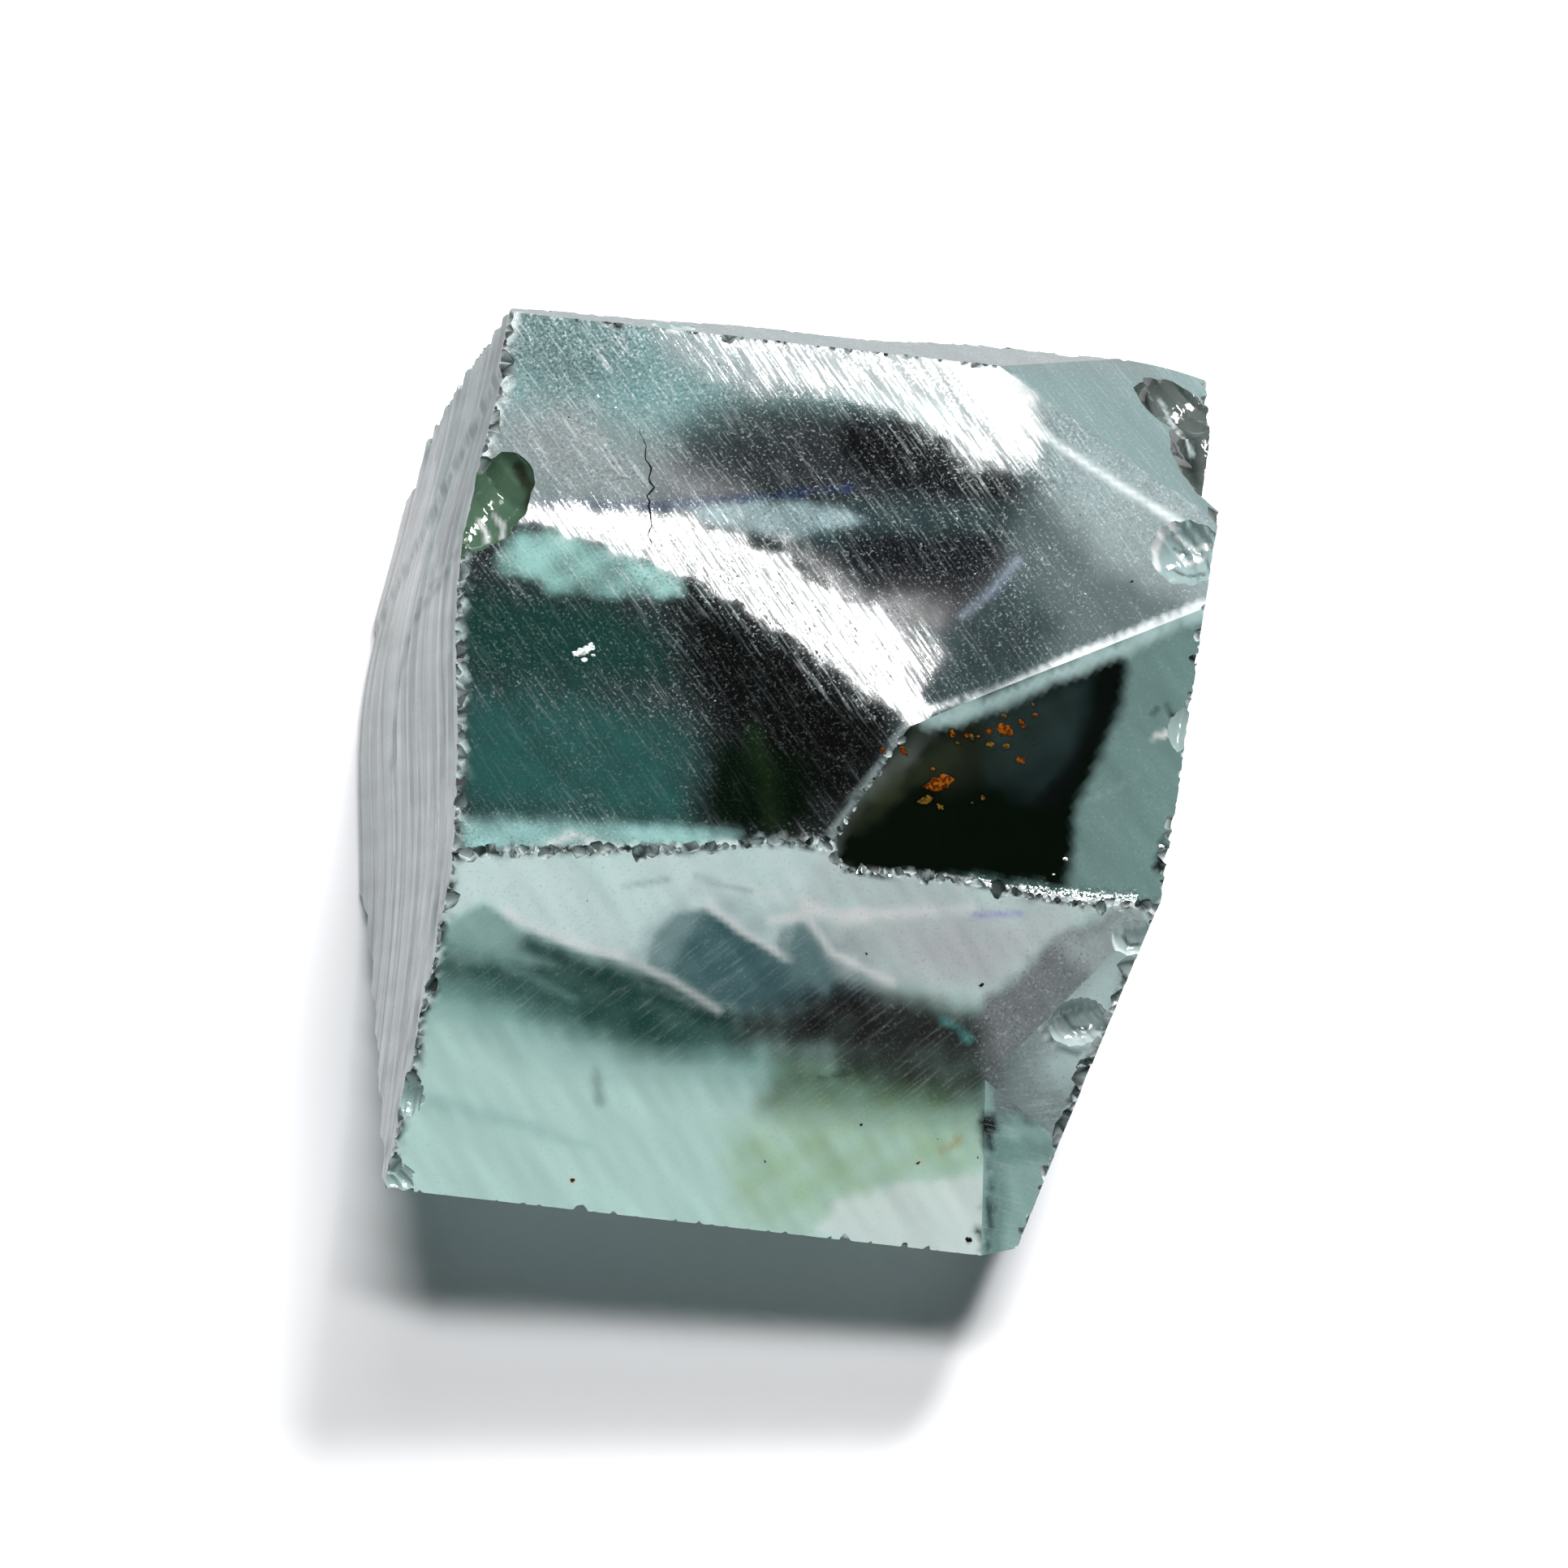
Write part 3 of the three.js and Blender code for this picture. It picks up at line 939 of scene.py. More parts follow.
class Skin:
    """The changing part of the glass's skin: the mesh's own values, and three patterns over them."""

    def __init__(self, glass: Glass, nodes: Nodes) -> None:
        """Lays out the values and the patterns.

        Args:
            glass: The glass and its numbers.
            nodes: The material's nodes.
        """
        self.glass = glass
        self.nodes = nodes
        names = ("satin", "frost", "striated", "specked", "streaked", "roughness", "bearing")
        self.value = {name: nodes.attribute(name) for name in names}
        place = nodes.add("ShaderNodeTexCoord").outputs["Object"]
        turned = nodes.add("ShaderNodeVectorRotate", rotation_type="Z_AXIS")
        nodes.feed(turned.inputs["Vector"], place)
        nodes.feed(turned.inputs["Angle"], self.value["bearing"])
        self.scratches = nodes.noise(turned.outputs[0], glass.scratch_size, roughness=0.6)
        self.grain = nodes.noise(place, glass.grain_size, roughness=0.75, shift=3.0)
        self.growth = nodes.noise(place, glass.growth_size, detail=1.0, roughness=0.7, shift=5.0)

    def weighed(self, pattern: Socket, name: str, share: float = 1.0, limits: Pair | None = None) -> Socket:
        """A pattern, as strong as one of the mesh's values says.

        Args:
            pattern: The pattern, from 0 to 1.
            name: The value's name.
            share: How strong the pattern is where the value is 1.
            limits: Where in it its strong part starts and is full, or nothing to take it all, around 0.

        Returns:
            The weighed pattern.
        """
        nodes = self.nodes
        part = nodes.grade(pattern, *limits) if limits else nodes.math("SUBTRACT", pattern, 0.5)
        return nodes.math("MULTIPLY", part, nodes.math("MULTIPLY", self.value[name], share))

    def normal(self) -> Socket:
        """Which way the skin faces: its mesh, its lean, and the slopes of its finest relief."""
        glass, nodes = self.glass, self.nodes
        across = nodes.add("ShaderNodeVectorRotate", rotation_type="Z_AXIS")
        across.inputs["Vector"].default_value = (0.0, glass.scratch_slope, 0.0)
        nodes.feed(across.inputs["Angle"], nodes.math("MULTIPLY", self.value["bearing"], -1.0))
        flecks = self.weighed(self.grain, "specked", glass.shake)
        hairs = self.weighed(self.scratches, "streaked", glass.shake)
        shaken = nodes.math("ADD", nodes.math("ADD", flecks, hairs), 1.0)
        facing = nodes.add("ShaderNodeNewGeometry").outputs["Normal"]
        for step in (nodes.scale(nodes.attribute("lean", "Vector"), shaken),
                     nodes.scale(across.outputs[0], self.weighed(self.scratches, "satin")),
                     nodes.scale(glass.grain_slope, self.weighed(self.grain, "frost")),
                     nodes.scale(glass.growth_slope, self.weighed(self.growth, "striated"))):
            facing = nodes.vector("ADD", facing, step)
        return nodes.vector("NORMALIZE", facing)

    def roughness(self) -> Socket:
        """How matt the skin is."""
        change = self.weighed(self.grain, "specked", self.glass.uneven)
        rough = self.nodes.math("ADD", self.value["roughness"], change)
        return self.nodes.math("MAXIMUM", rough, self.glass.smoothest)

    def colour(self) -> Socket:
        """The skin's colour: its tint under pale bruises, dark pits and dark growth lines."""
        glass, nodes = self.glass, self.nodes
        specks = self.weighed(self.grain, "specked", limits=glass.speck_limits)
        streaks = self.weighed(self.scratches, "streaked", glass.streak_share, glass.streak_limits)
        bruised = nodes.add("ShaderNodeMix", data_type="RGBA")
        nodes.feed(bruised.inputs[0], nodes.math("MINIMUM", nodes.math("ADD", specks, streaks), 1.0))
        nodes.feed(bruised.inputs[6], nodes.attribute("tint", "Color"))
        bruised.inputs[7].default_value = glass.pale
        pits = self.weighed(self.grain, "specked", glass.pit_share, glass.pit_limits)
        lines = self.weighed(self.growth, "striated", glass.line_share, glass.line_limits)
        kept = nodes.math("SUBTRACT", 1.0, nodes.math("ADD", pits, lines))
        return nodes.scale(bruised.outputs[2], kept)


@dataclass(frozen=True)
class Camera:
    """The camera, by where it looks and from where, in millimetres and degrees."""

    target: Triple = (1.031, -0.554, 8.0)
    azimuth: float = 8.0
    elevation: float = 68.0
    distance: float = 260.0
    view_width: float = 49.46
    sensor: float = 36.0
    nearest: float = 10.0
    furthest: float = 10000.0

    def place(self) -> Item:
        """Sets the camera up and makes it the scene's own."""
        data = bpy.data.cameras.new("camera")
        data.sensor_fit = "HORIZONTAL"
        data.sensor_width = self.sensor
        data.lens = self.sensor * self.distance / self.view_width
        data.clip_start = self.nearest * MM
        data.clip_end = self.furthest * MM
        item = bpy.data.objects.new("camera", data)
        bpy.context.scene.collection.objects.link(item)
        turn, rise = radians(self.azimuth), radians(self.elevation)
        level = cos(rise)
        back = Vector((sin(turn) * level, -cos(turn) * level, sin(rise)))
        item.location = (Vector(self.target) + back * self.distance) * MM
        item.rotation_euler = back.to_track_quat("Z", "Y").to_euler()
        bpy.context.scene.camera = item
        return item


@dataclass(frozen=True)
class SoftBox:
    """A rectangular lamp above the stone, given by the angles that it is seen at from the stone.

    Attributes:
        right, back: Tilt of its middle to the right and to the back of straight up, in degrees.
        width, depth: Angles that it spans sideways and from front to back, in degrees.
        radiance: How bright its face is.
        distance: How far it stands from the stone, in millimetres.
    """

    name: str
    right: float
    back: float
    width: float
    depth: float
    radiance: float
    distance: float = 600.0
    tint: Triple = (1.0, 1.0, 1.0)

    def place(self) -> Item:
        """Hangs the lamp and turns it to the stone."""
        data = bpy.data.lights.new(self.name, "AREA")
        data.shape = "RECTANGLE"
        data.size = 2 * self.distance * tan(radians(self.width / 2)) * MM
        data.size_y = 2 * self.distance * tan(radians(self.depth / 2)) * MM
        data.color = self.tint
        data.energy = self.radiance * pi * data.size * data.size_y
        item = bpy.data.objects.new(self.name, data)
        bpy.context.scene.collection.objects.link(item)
        slopes = (tan(radians(self.right)), tan(radians(self.back)))
        way = Vector((*slopes, 1.0)).normalized()
        item.location = way * self.distance * MM
        item.rotation_euler = way.to_track_quat("Z", "Y").to_euler()
        return item


@dataclass(frozen=True)
class Studio:
    """A white paper floor, soft lamps and dim surroundings. The paper's side is in metres."""

    lamps: tuple[SoftBox, ...] = (
        SoftBox("back_box", 0.0, 27.5, 16.0, 12.0, 5.5),
        SoftBox("right_box", 19.0, 40.0, 15.0, 17.0, 50.0),
        SoftBox("key", 1.7, 7.0, 27.0, 6.5, 35.0),
    )
    surround: float = 0.015
    paper_size: float = 3.0
    paper_tint: tuple[float, float, float, float] = (0.9, 0.9, 0.92, 1.0)
    paper_roughness: float = 0.9
    paper_gloss: float = 0.1
    exposure: float = 0.15
    bounces: int = 7

    def build(self) -> None:
        """Lays the paper, hangs the lamps and sets the surroundings' light."""
        mesh = bmesh.new()
        bmesh.ops.create_grid(mesh, x_segments=1, y_segments=1, size=self.paper_size / 2)
        paper = object_from(mesh, "paper")
        paper.data.materials.append(self.paper())
        for lamp in self.lamps:
            lamp.place()
        world = bpy.data.worlds.new("surround")
        world.use_nodes = True
        sky = world.node_tree.nodes["Background"]
        sky.inputs["Color"].default_value = (1.0, 1.0, 1.0, 1.0)
        sky.inputs["Strength"].default_value = self.surround
        scene = bpy.context.scene
        scene.world = world
        scene.view_settings.view_transform = "Standard"
        scene.view_settings.exposure = self.exposure
        scene.cycles.max_bounces = self.bounces
        scene.cycles.transmission_bounces = self.bounces

    def paper(self) -> bpy.types.Material:
        """The paper's plain white finish."""
        material = bpy.data.materials.new("white_paper")
        material.use_nodes = True
        skin = material.node_tree.nodes["Principled BSDF"]
        skin.inputs["Base Color"].default_value = self.paper_tint
        skin.inputs["Roughness"].default_value = self.paper_roughness
        skin.inputs["Specular IOR Level"].default_value = self.paper_gloss
        return material


@dataclass(frozen=True)
class Finish:
    """How a facet's skin looks before its marks.

    Attributes:
        satin, frost, striated: Depth of its scratches, grain and growth lines, as shares of the deepest.
        specked: How strongly it is speckled with pale and dark grain.
        streaked: How strongly its scratches are pale.
        bearing: Which way its scratches run, in degrees.
        calm: How far light meets it as a plane, its relief left out.
        lean: Which way light meets it, as slopes off its plane.
    """

    roughness: float
    tint: Triple = (0.7, 0.8, 0.8)
    satin: float = 0.0
    frost: float = 0.0
    striated: float = 0.0
    specked: float = 0.2
    streaked: float = 0.0
    bearing: float = 0.0
    calm: float = 0.0
    lean: Pair = (0.0, 0.0)


# Ways for light to meet the satin break, as slopes, and the way its scratches run, in degrees.
SHINES = (0.0, -0.122)
DARKENS = (-0.2, -0.04)
GLITTERS = (-0.02, -0.03)
SCRATCHED = -48.0

FINISHES: dict[str, Finish] = {
    # Painted shade: the satin top's near-black tint paints the dark seen into the stone from above.
    "satin_top": Finish(0.12, (0.022, 0.024, 0.026), satin=1.0, frost=0.8, specked=0.5, streaked=0.35,
        bearing=SCRATCHED, calm=1.0, lean=DARKENS),
    # Painted shade: the glassy hollow's near-black tint paints the dark seen through it into the stone.
    "glassy_hollow": Finish(0.06, (0.001, 0.003, 0.001), frost=0.02, specked=0.0, calm=0.95),
    "front_slope": Finish(0.3, (0.66, 0.92, 0.86), satin=0.2, frost=0.4, specked=0.12, streaked=0.12,
        bearing=44.0),
    "back_bevel": Finish(0.5, (0.22, 0.26, 0.265), frost=0.8, specked=0.7),
    "corner_bevel": Finish(0.35, (0.12, 0.225, 0.225), satin=0.2, frost=0.3, specked=0.25, streaked=0.2,
        bearing=-50.0),
    "back": Finish(0.35, (0.40, 0.51, 0.51), satin=0.1, frost=0.6, striated=0.3, specked=0.35, streaked=0.3,
        bearing=5.0),
    "left_prism": Finish(0.5, (0.95, 0.965, 0.98), frost=0.4, striated=1.0, specked=0.12),
    "right_prism": Finish(0.4, (0.52, 0.65, 0.64), frost=0.4, striated=1.0),
    "right_break": Finish(0.35, (0.5, 0.66, 0.64), frost=0.4),
    "underside": Finish(0.3, (0.34, 0.42, 0.42), satin=0.2, frost=0.3, streaked=0.2, bearing=10.0),
    "base": Finish(0.4, (0.28, 0.35, 0.35), satin=0.2, frost=0.5, specked=0.3, streaked=0.2, bearing=30.0),
    "notch_upper": Finish(0.4, (0.33, 0.41, 0.41), satin=0.3, frost=0.5, specked=0.3, streaked=0.5,
        bearing=20.0),
    "notch_lower": Finish(0.25, (0.33, 0.50, 0.47), satin=0.1, frost=0.2, specked=0.15, streaked=0.2,
        bearing=5.0),
}


WHITE = (1.0, 1.0, 1.0)
BLACK = (0.004, 0.004, 0.004)
# How wide the clouds in an uneven mark are, in millimetres.
CLOUD_SIZE = 1.3


@dataclass(frozen=True)
class Mark:
    """A soft-edged patch or stroke on the stone's skin, in the frame's millimetres.

    Attributes:
        points: Its outline, or its middle line where it has a width.
        strength: How fully it covers its middle.
        soft: Width of its edge.
        width: A stroke's width, or 0 for a patch.
        tint, lean, specked, streaked, roughness, satin: What it gives the skin, as a finish does, or
            nothing where it leaves that alone.
        ragged: How far its edge wanders.
        seen: The two axes that its points are given on.
        cloudy: How unevenly it covers.
    """

    points: tuple[Pair, ...]
    tint: Triple | None = None
    strength: float = 1.0
    soft: float = 0.8
    width: float = 0.0
    lean: Pair | None = None
    specked: float | None = None
    streaked: float | None = None
    roughness: float | None = None
    ragged: float = 0.15
    seen: tuple[int, int] = (0, 1)
    cloudy: float = 0.0
    satin: float | None = None

    def cover(self, spots: Array) -> Array:
        """How fully it covers each spot, from 0 to 1."""
        flat = spots[:, list(self.seen)]
        closed = self.width == 0
        line = np.array([*self.points, self.points[0]] if closed else self.points)
        away = np.full(len(flat), np.inf)
        inside = np.zeros(len(flat), bool)
        for start, end in zip(line[:-1], line[1:]):
            along = end - start
            share = np.clip((flat - start) @ along / (along @ along), 0, 1)
            away = np.minimum(away, np.hypot(*(flat - start - share[:, None] * along).T))
            crosses = (start[1] > flat[:, 1]) != (end[1] > flat[:, 1])
            reach = start[0] + along[0] * (flat[:, 1] - start[1]) / (along[1] or TINY)
            inside ^= crosses & (flat[:, 0] < reach)
        depth = np.where(inside, away, -away) if closed else self.width / 2 - away
        depth += self.ragged * wander(spots)
        thinned = 1 - self.cloudy * patchy(spots, CLOUD_SIZE)
        return self.strength * thinned * smoothstep(depth, -self.soft / 2, self.soft / 2)


def line(points: tuple[Pair, ...], tint: Triple, width: float, strength: float = 0.9,
         soft: float = 0.1, ragged: float = 0.05, **more: object) -> Mark:
    """A thin line, which is a mark with a width of its own and a crisper edge."""
    return Mark(points, tint, strength, soft, width, ragged=ragged, **more)


def from_the_side(marks: tuple[Mark, ...]) -> tuple[Mark, ...]:
    """The marks with their points given as y and z, for a face that looks to a side."""
    return tuple(replace(mark, seen=(1, 2)) for mark in marks)


def from_behind(marks: tuple[Mark, ...]) -> tuple[Mark, ...]:
    """The marks with their points given as x and z, for a face that looks to the back."""
    return tuple(replace(mark, seen=(0, 2)) for mark in marks)


def wander(spots: Array) -> Array:
    """A gentle unevenness over the stone, from about -1 to 1.

    Its numbers only keep the waves from falling in step with each other.

    Args:
        spots: Where to take it, in the frame's millimetres.

    Returns:
        The value at each spot.
    """
    x, y, z = spots.T
    wide = np.sin(1.9 * x + 1.1 * y + 0.7) * np.sin(1.3 * y - 1.7 * x + 2.0 * z)
    fine = np.sin(5.3 * x - 4.1 * y + 1.9) * np.sin(6.1 * y + 3.7 * x + 1.0 * z)
    return 0.6 * wide + 0.4 * fine


def patchy(spots: Array, size: float) -> Array:
    """A blotchy value from 0 to 1. Its numbers, too, only keep the waves from falling in step.

    Args:
        spots: Where to take it, in millimetres.
        size: Over how many millimetres it changes.

    Returns:
        The value at each spot.
    """
    x, y, z = (spots / size).T
    waves = np.sin(x * 2.1 + y * 1.3 + z * 0.7) + np.sin(y * 2.9 - z * 1.9 + 1.0)
    waves += np.sin(z * 3.1 + x * 1.7 + 2.0)
    waves += np.sin((x + y) * 4.3 + z * 2.3 + 0.5) + np.sin((x - y) * 5.1 - z * 3.3)
    return 0.5 + 0.5 * np.clip(waves / 2.4, -1, 1)


def brushed(spots: Array, bearing: float, long: float, wide: float) -> Array:
    """A value from 0 to 1 that changes in streaks.

    Args:
        spots: Where to take it, in the frame's millimetres.
        bearing: Which way the streaks run, in degrees.
        long: About how long they are, in millimetres.
        wide: About how wide they are.

    Returns:
        The value at each spot.
    """
    turn = radians(bearing)
    along = spots[:, 0] * cos(turn) + spots[:, 1] * sin(turn)
    across = spots[:, 1] * cos(turn) - spots[:, 0] * sin(turn)
    return patchy(np.stack([along / long, across / wide, np.zeros(len(spots))], 1), 1.0)


TOP_MARKS = (
    # Painted sheen: a grey-teal veil over the back left that stands in for the soft lamps' reflection in the
    # satin.
    Mark(((-12.2, 16), (3.8, 14.5), (1.3, 10.9), (-1.7, 9.9), (-3.6, 8.0), (-4.7, 6.2), (-12.2, 5.2)),
         (0.20, 0.365, 0.365), soft=3.5, lean=GLITTERS, specked=0.6, streaked=0.6),
    # Painted sheen: this grey veil and the grey one two marks on stand in for the soft lamps' reflection
    # between the bands.
    Mark(((-9.7, 8.5), (-7.2, 9.4), (-3.7, 8.3), (-1.2, 6.9), (-4.3, 6.0), (-9.7, 5.4)), (0.36, 0.36, 0.37),
         0.8, 2.0, lean=(0.05, -0.05), specked=0.6, streaked=1.0, cloudy=0.3),
    Mark(((-9.7, 13.8), (-5.7, 13.2), (-5.2, 10.6), (-7.2, 9.4), (-9.7, 10.2)), (0.10, 0.17, 0.17), 0.7,
         1.5, cloudy=0.4),
    Mark(((-5.4, 12.6), (-3.3, 12.9), (-1.9, 11.8), (0.2, 11.2), (-1.5, 10.3), (-4.1, 11.1)),
         (0.35, 0.40, 0.41), 0.7, 1.2, lean=(0.0, -0.10), specked=0.8, streaked=0.6),
    Mark(((6.8, 13.2), (7.4, 9.5), (10.2, 7.0), (13.6, 6.2), (13.8, 8.8), (9.3, 12.2)), (0.28, 0.39, 0.40),
         0.9, 2.2, lean=(-0.03, -0.02), specked=0.35, cloudy=0.35),
    # Painted shade: the near-black and dark teal patches from here to the mint ones, most with the DARKENS
    # lean, paint the dark seen into the stone from above.
    Mark(((5.4, 0.8), (8.4, 2.6), (8.8, 4.4), (7.2, 5.4), (6.1, 3.4)), (0.045, 0.065, 0.07), soft=1.6,
         lean=(-0.3, 0.0), specked=0.5, roughness=0.12),
    Mark(((-2.2, 10.1), (1.0, 10.7), (3.9, 10.1), (7.2, 8.9), (6.8, 8.0), (1.9, 7.6), (-3.5, 7.4),
         (-3.7, 8.7)), (0.03, 0.032, 0.036), 0.8, 2.0, lean=DARKENS, streaked=0.4),
    Mark(((1.2, 10.6), (3.9, 10.1), (5.8, 9.1), (7.2, 8.9), (6.6, 8.2), (3.1, 8.0), (1.5, 8.8)),
         (0.004, 0.004, 0.006), lean=DARKENS, specked=0.4, streaked=0.15),
    Mark(((0.1, 6.9), (3.1, 7.7), (6.8, 8.0), (7.0, 7.0), (3.3, 6.2), (1.0, 5.4)), (0.03, 0.06, 0.065), 0.9,
         1.0, lean=DARKENS, specked=0.5, streaked=0.3),
    Mark(((2.1, 6.2), (6.7, 7.2), (7.3, 6.2), (6.1, 3.9), (4.4, 3.1), (2.4, 4.3)), (0.004, 0.004, 0.007),
         soft=1.2, lean=DARKENS, specked=0.35, streaked=0.12),
    Mark(((-3.4, 6.2), (-1.0, 6.8), (1.4, 7.1), (2.6, 6.8), (0.3, 5.7), (-2.3, 5.8)), (0.40, 0.58, 0.61),
         0.9, 0.5, lean=GLITTERS, specked=0.7, streaked=1.0, cloudy=0.45),
    Mark(((0.1, 5.6), (1.4, 5.2), (3.1, 4.2), (4.6, 4.4), (4.4, 3.1), (3.3, 3.1), (1.7, 4.1)),
         (0.33, 0.30, 0.31), 0.6, 1.0, lean=(-0.09, -0.08), specked=0.7, streaked=0.6),
    Mark(((-9.7, 2.6), (-4.9, 2.9), (-2.7, 1.9), (-2.5, 0.4), (-5.7, -0.4), (-9.7, -0.5)),
         (0.009, 0.042, 0.034), soft=2.0, lean=DARKENS, specked=0.2, streaked=0.1, roughness=0.08),
    Mark(((-9.7, -1.2), (-5.6, -0.5), (-2.3, -0.9), (-1.2, -2.3), (-1.4, -4.4), (-9.2, -5.0)),
         (0.022, 0.095, 0.085), soft=2.6, lean=DARKENS, specked=0.06, streaked=0.04, roughness=0.08,
         cloudy=0.25),
    Mark(((-3.0, 3.6), (-2.0, 3.9), (0.1, 2.9), (2.2, 1.8), (4.3, 0.8), (4.7, -0.9), (3.4, -2.8),
         (0.9, -3.2), (-1.1, -1.2), (-2.6, 1.2)), (0.003, 0.002, 0.002), soft=2.0, lean=DARKENS,
         specked=0.14, streaked=0.05, roughness=0.05),
    Mark(((-1.1, -1.2), (1.9, -1.3), (2.8, -3.6), (-0.1, -4.6), (-1.3, -3.6)), (0.001, 0.004, 0.001),
         soft=1.4, lean=DARKENS, specked=0.02, streaked=0.01, roughness=0.05),
    Mark(((-9.0, -5.2), (-5.0, -4.7), (-2.1, -4.4), (0.1, -4.3), (0.1, -5.5), (-9.2, -7.0)),
         (0.42, 0.74, 0.71), soft=0.6, cloudy=0.45),
    Mark(((-8.5, 3.4), (-8.0, 4.5), (-6.9, 5.0), (-4.9, 4.6), (-3.0, 4.1), (-2.8, 3.5), (-4.6, 3.0),
         (-6.6, 2.9)), (0.44, 0.80, 0.74), soft=0.7, lean=DARKENS, specked=0.5, streaked=1.0, ragged=0.25,
         cloudy=0.55),
    Mark(((-3.3, 12.3), (-1.9, 11.5), (-0.2, 11.1), (2.0, 11.0), (3.9, 10.4), (5.8, 9.4), (7.7, 9.5),
         (7.9, 10.8)), soft=1.0, width=1.9, roughness=0.15, ragged=0.4, satin=2.6),
    Mark(((-7.0, 4.9), (-4.1, 4.5), (-2.1, 4.0), (0.1, 2.9), (2.2, 1.8), (4.1, 0.9), (5.4, 0.2)), soft=0.9,
         width=1.6, roughness=0.15, ragged=0.4, satin=2.4),
    Mark(((-2.3, 5.7), (0.2, 5.0), (1.7, 4.2), (3.5, 3.5), (4.7, 2.4), (5.4, 0.2)), soft=1.0, width=2.0,
         roughness=0.16, ragged=0.4, satin=2.8),
    # Painted highlight: these two pale bands stand in for the key lamp's reflection, which their SHINES lean
    # also brings there.
    Mark(((-3.3, 12.3), (-0.3, 12.9), (3.8, 12.9), (6.8, 12.9), (7.8, 10.7), (7.8, 9.6), (5.8, 9.3),
         (3.9, 10.4), (2.0, 11.0), (-0.2, 11.1), (-1.9, 11.5)), (0.5, 0.55, 0.55), soft=0.9, lean=SHINES,
         specked=0.6, streaked=0.5, ragged=0.3),
    Mark(((-8.0, 5.6), (-4.3, 5.9), (-2.3, 5.7), (0.2, 5.0), (1.7, 4.1), (3.5, 3.4), (4.5, 2.5), (5.4, 0.2),
         (4.1, 0.9), (2.2, 1.8), (0.1, 2.9), (-2.1, 4.0), (-4.1, 4.4), (-6.0, 4.7), (-8.0, 5.0)),
         (0.5, 0.5, 0.49), soft=0.6, lean=SHINES, specked=0.6, streaked=0.5, ragged=0.25),
    Mark(((-0.7, 4.9), (1.7, 4.0), (3.5, 3.0), (5.0, 1.3)), soft=1.2, width=1.6, specked=1.0, streaked=0.9,
         ragged=0.4, satin=3.0),
    Mark(((-4.1, 4.3), (-2.1, 3.9), (0.1, 2.8), (2.2, 1.7), (4.1, 0.8), (4.9, 0.1)), soft=0.9, width=1.2,
         specked=0.9, streaked=0.9, ragged=0.4, satin=3.0),
    Mark(((-1.9, 11.4), (-0.2, 11.0), (2.0, 10.9), (3.9, 10.3), (5.8, 9.3), (7.4, 9.4)), soft=1.0,
         width=1.4, specked=0.9, streaked=0.9, ragged=0.4, satin=3.0),
    Mark(((3.7, 3.5), (5.7, 2.7), (5.2, 1.9), (4.6, 1.2), (3.9, 2.3)), (0.2, 0.19, 0.19), 0.8, 1.0,
         lean=(-0.03, -0.075), specked=0.6),
    # Painted glints: two white hairlines by the chip in the back edge.
    Mark(((-5.45, 12.65), (-4.8, 12.4), (-4.1, 12.15)), WHITE, 0.9, 0.15, 0.12, roughness=0.4),
    Mark(((-5.15, 12.8), (-4.3, 12.5), (-3.7, 12.3)), WHITE, 0.9, 0.15, 0.14, roughness=0.4),
    Mark(((-7.6, 5.6), (-4.3, 6.0), (-1.0, 6.9), (1.9, 7.8)), (0.02, 0.04, 0.12), 0.8, 0.25, 0.3),
    Mark(((7.1, 5.5), (7.5, 6.6), (8.4, 7.1), (8.2, 5.9), (7.6, 5.2)), soft=0.6, specked=1.0, satin=1.8),
    Mark(((6.0, 4.1), (6.8, 5.1), (7.5, 6.3)), (0.30, 0.36, 0.46), 0.9, 0.25, 0.26, specked=0.5,
         ragged=0.06, cloudy=0.3),
    Mark(((0.15, -0.8), (0.6, -2.0), (1.1, -3.6)), (0.010, 0.024, 0.007), 0.7, width=0.5),
    # Painted highlight: a pale line along the fold to the glassy hollow.
    Mark(((2.9, -4.0), (3.3, -3.0), (4.0, -1.6), (4.7, 0.1)), (0.35, 0.42, 0.42), 0.8, 0.25, 0.2,
         ragged=0.08),
    # Painted highlight: a pale strip and a white line along the fold down to the glassy hollow, leaned to
    # catch the key lamp.
    Mark(((4.8, 0.5), (7.1, 1.75), (9.6, 3.4)), (0.6, 0.7, 0.7), 0.9, 0.25, 0.2, lean=(0.0, -0.095),
         specked=0.3, streaked=0.3, roughness=0.25, ragged=0.04, cloudy=0.5),
    line(((9.2, 3.1), (11.1, 4.4), (13.4, 5.95)), (0.8, 0.9, 0.9), 0.28, 1.0, 0.25, lean=(0.0, -0.105),
         specked=0.2, streaked=0.1, roughness=0.2),
    Mark(((-5.5, -5.5), (-4.9, -5.1), (-4.0, -5.3), (-2.9, -5.4)), WHITE, 0.8, 0.3, 0.25, ragged=0.1),
    # Painted highlight: a white line along the fold to the corner bevel, leaned to catch the key lamp.
    line(((3.7, 12.7), (5.0, 12.3), (6.7, 11.2), (8.6, 10.2), (12.4, 8.5)), (0.9, 1.0, 1.0), 0.25, 1.0, 0.3,
         lean=(0.0, -0.105), specked=0.1, streaked=0.1, roughness=0.2),
)
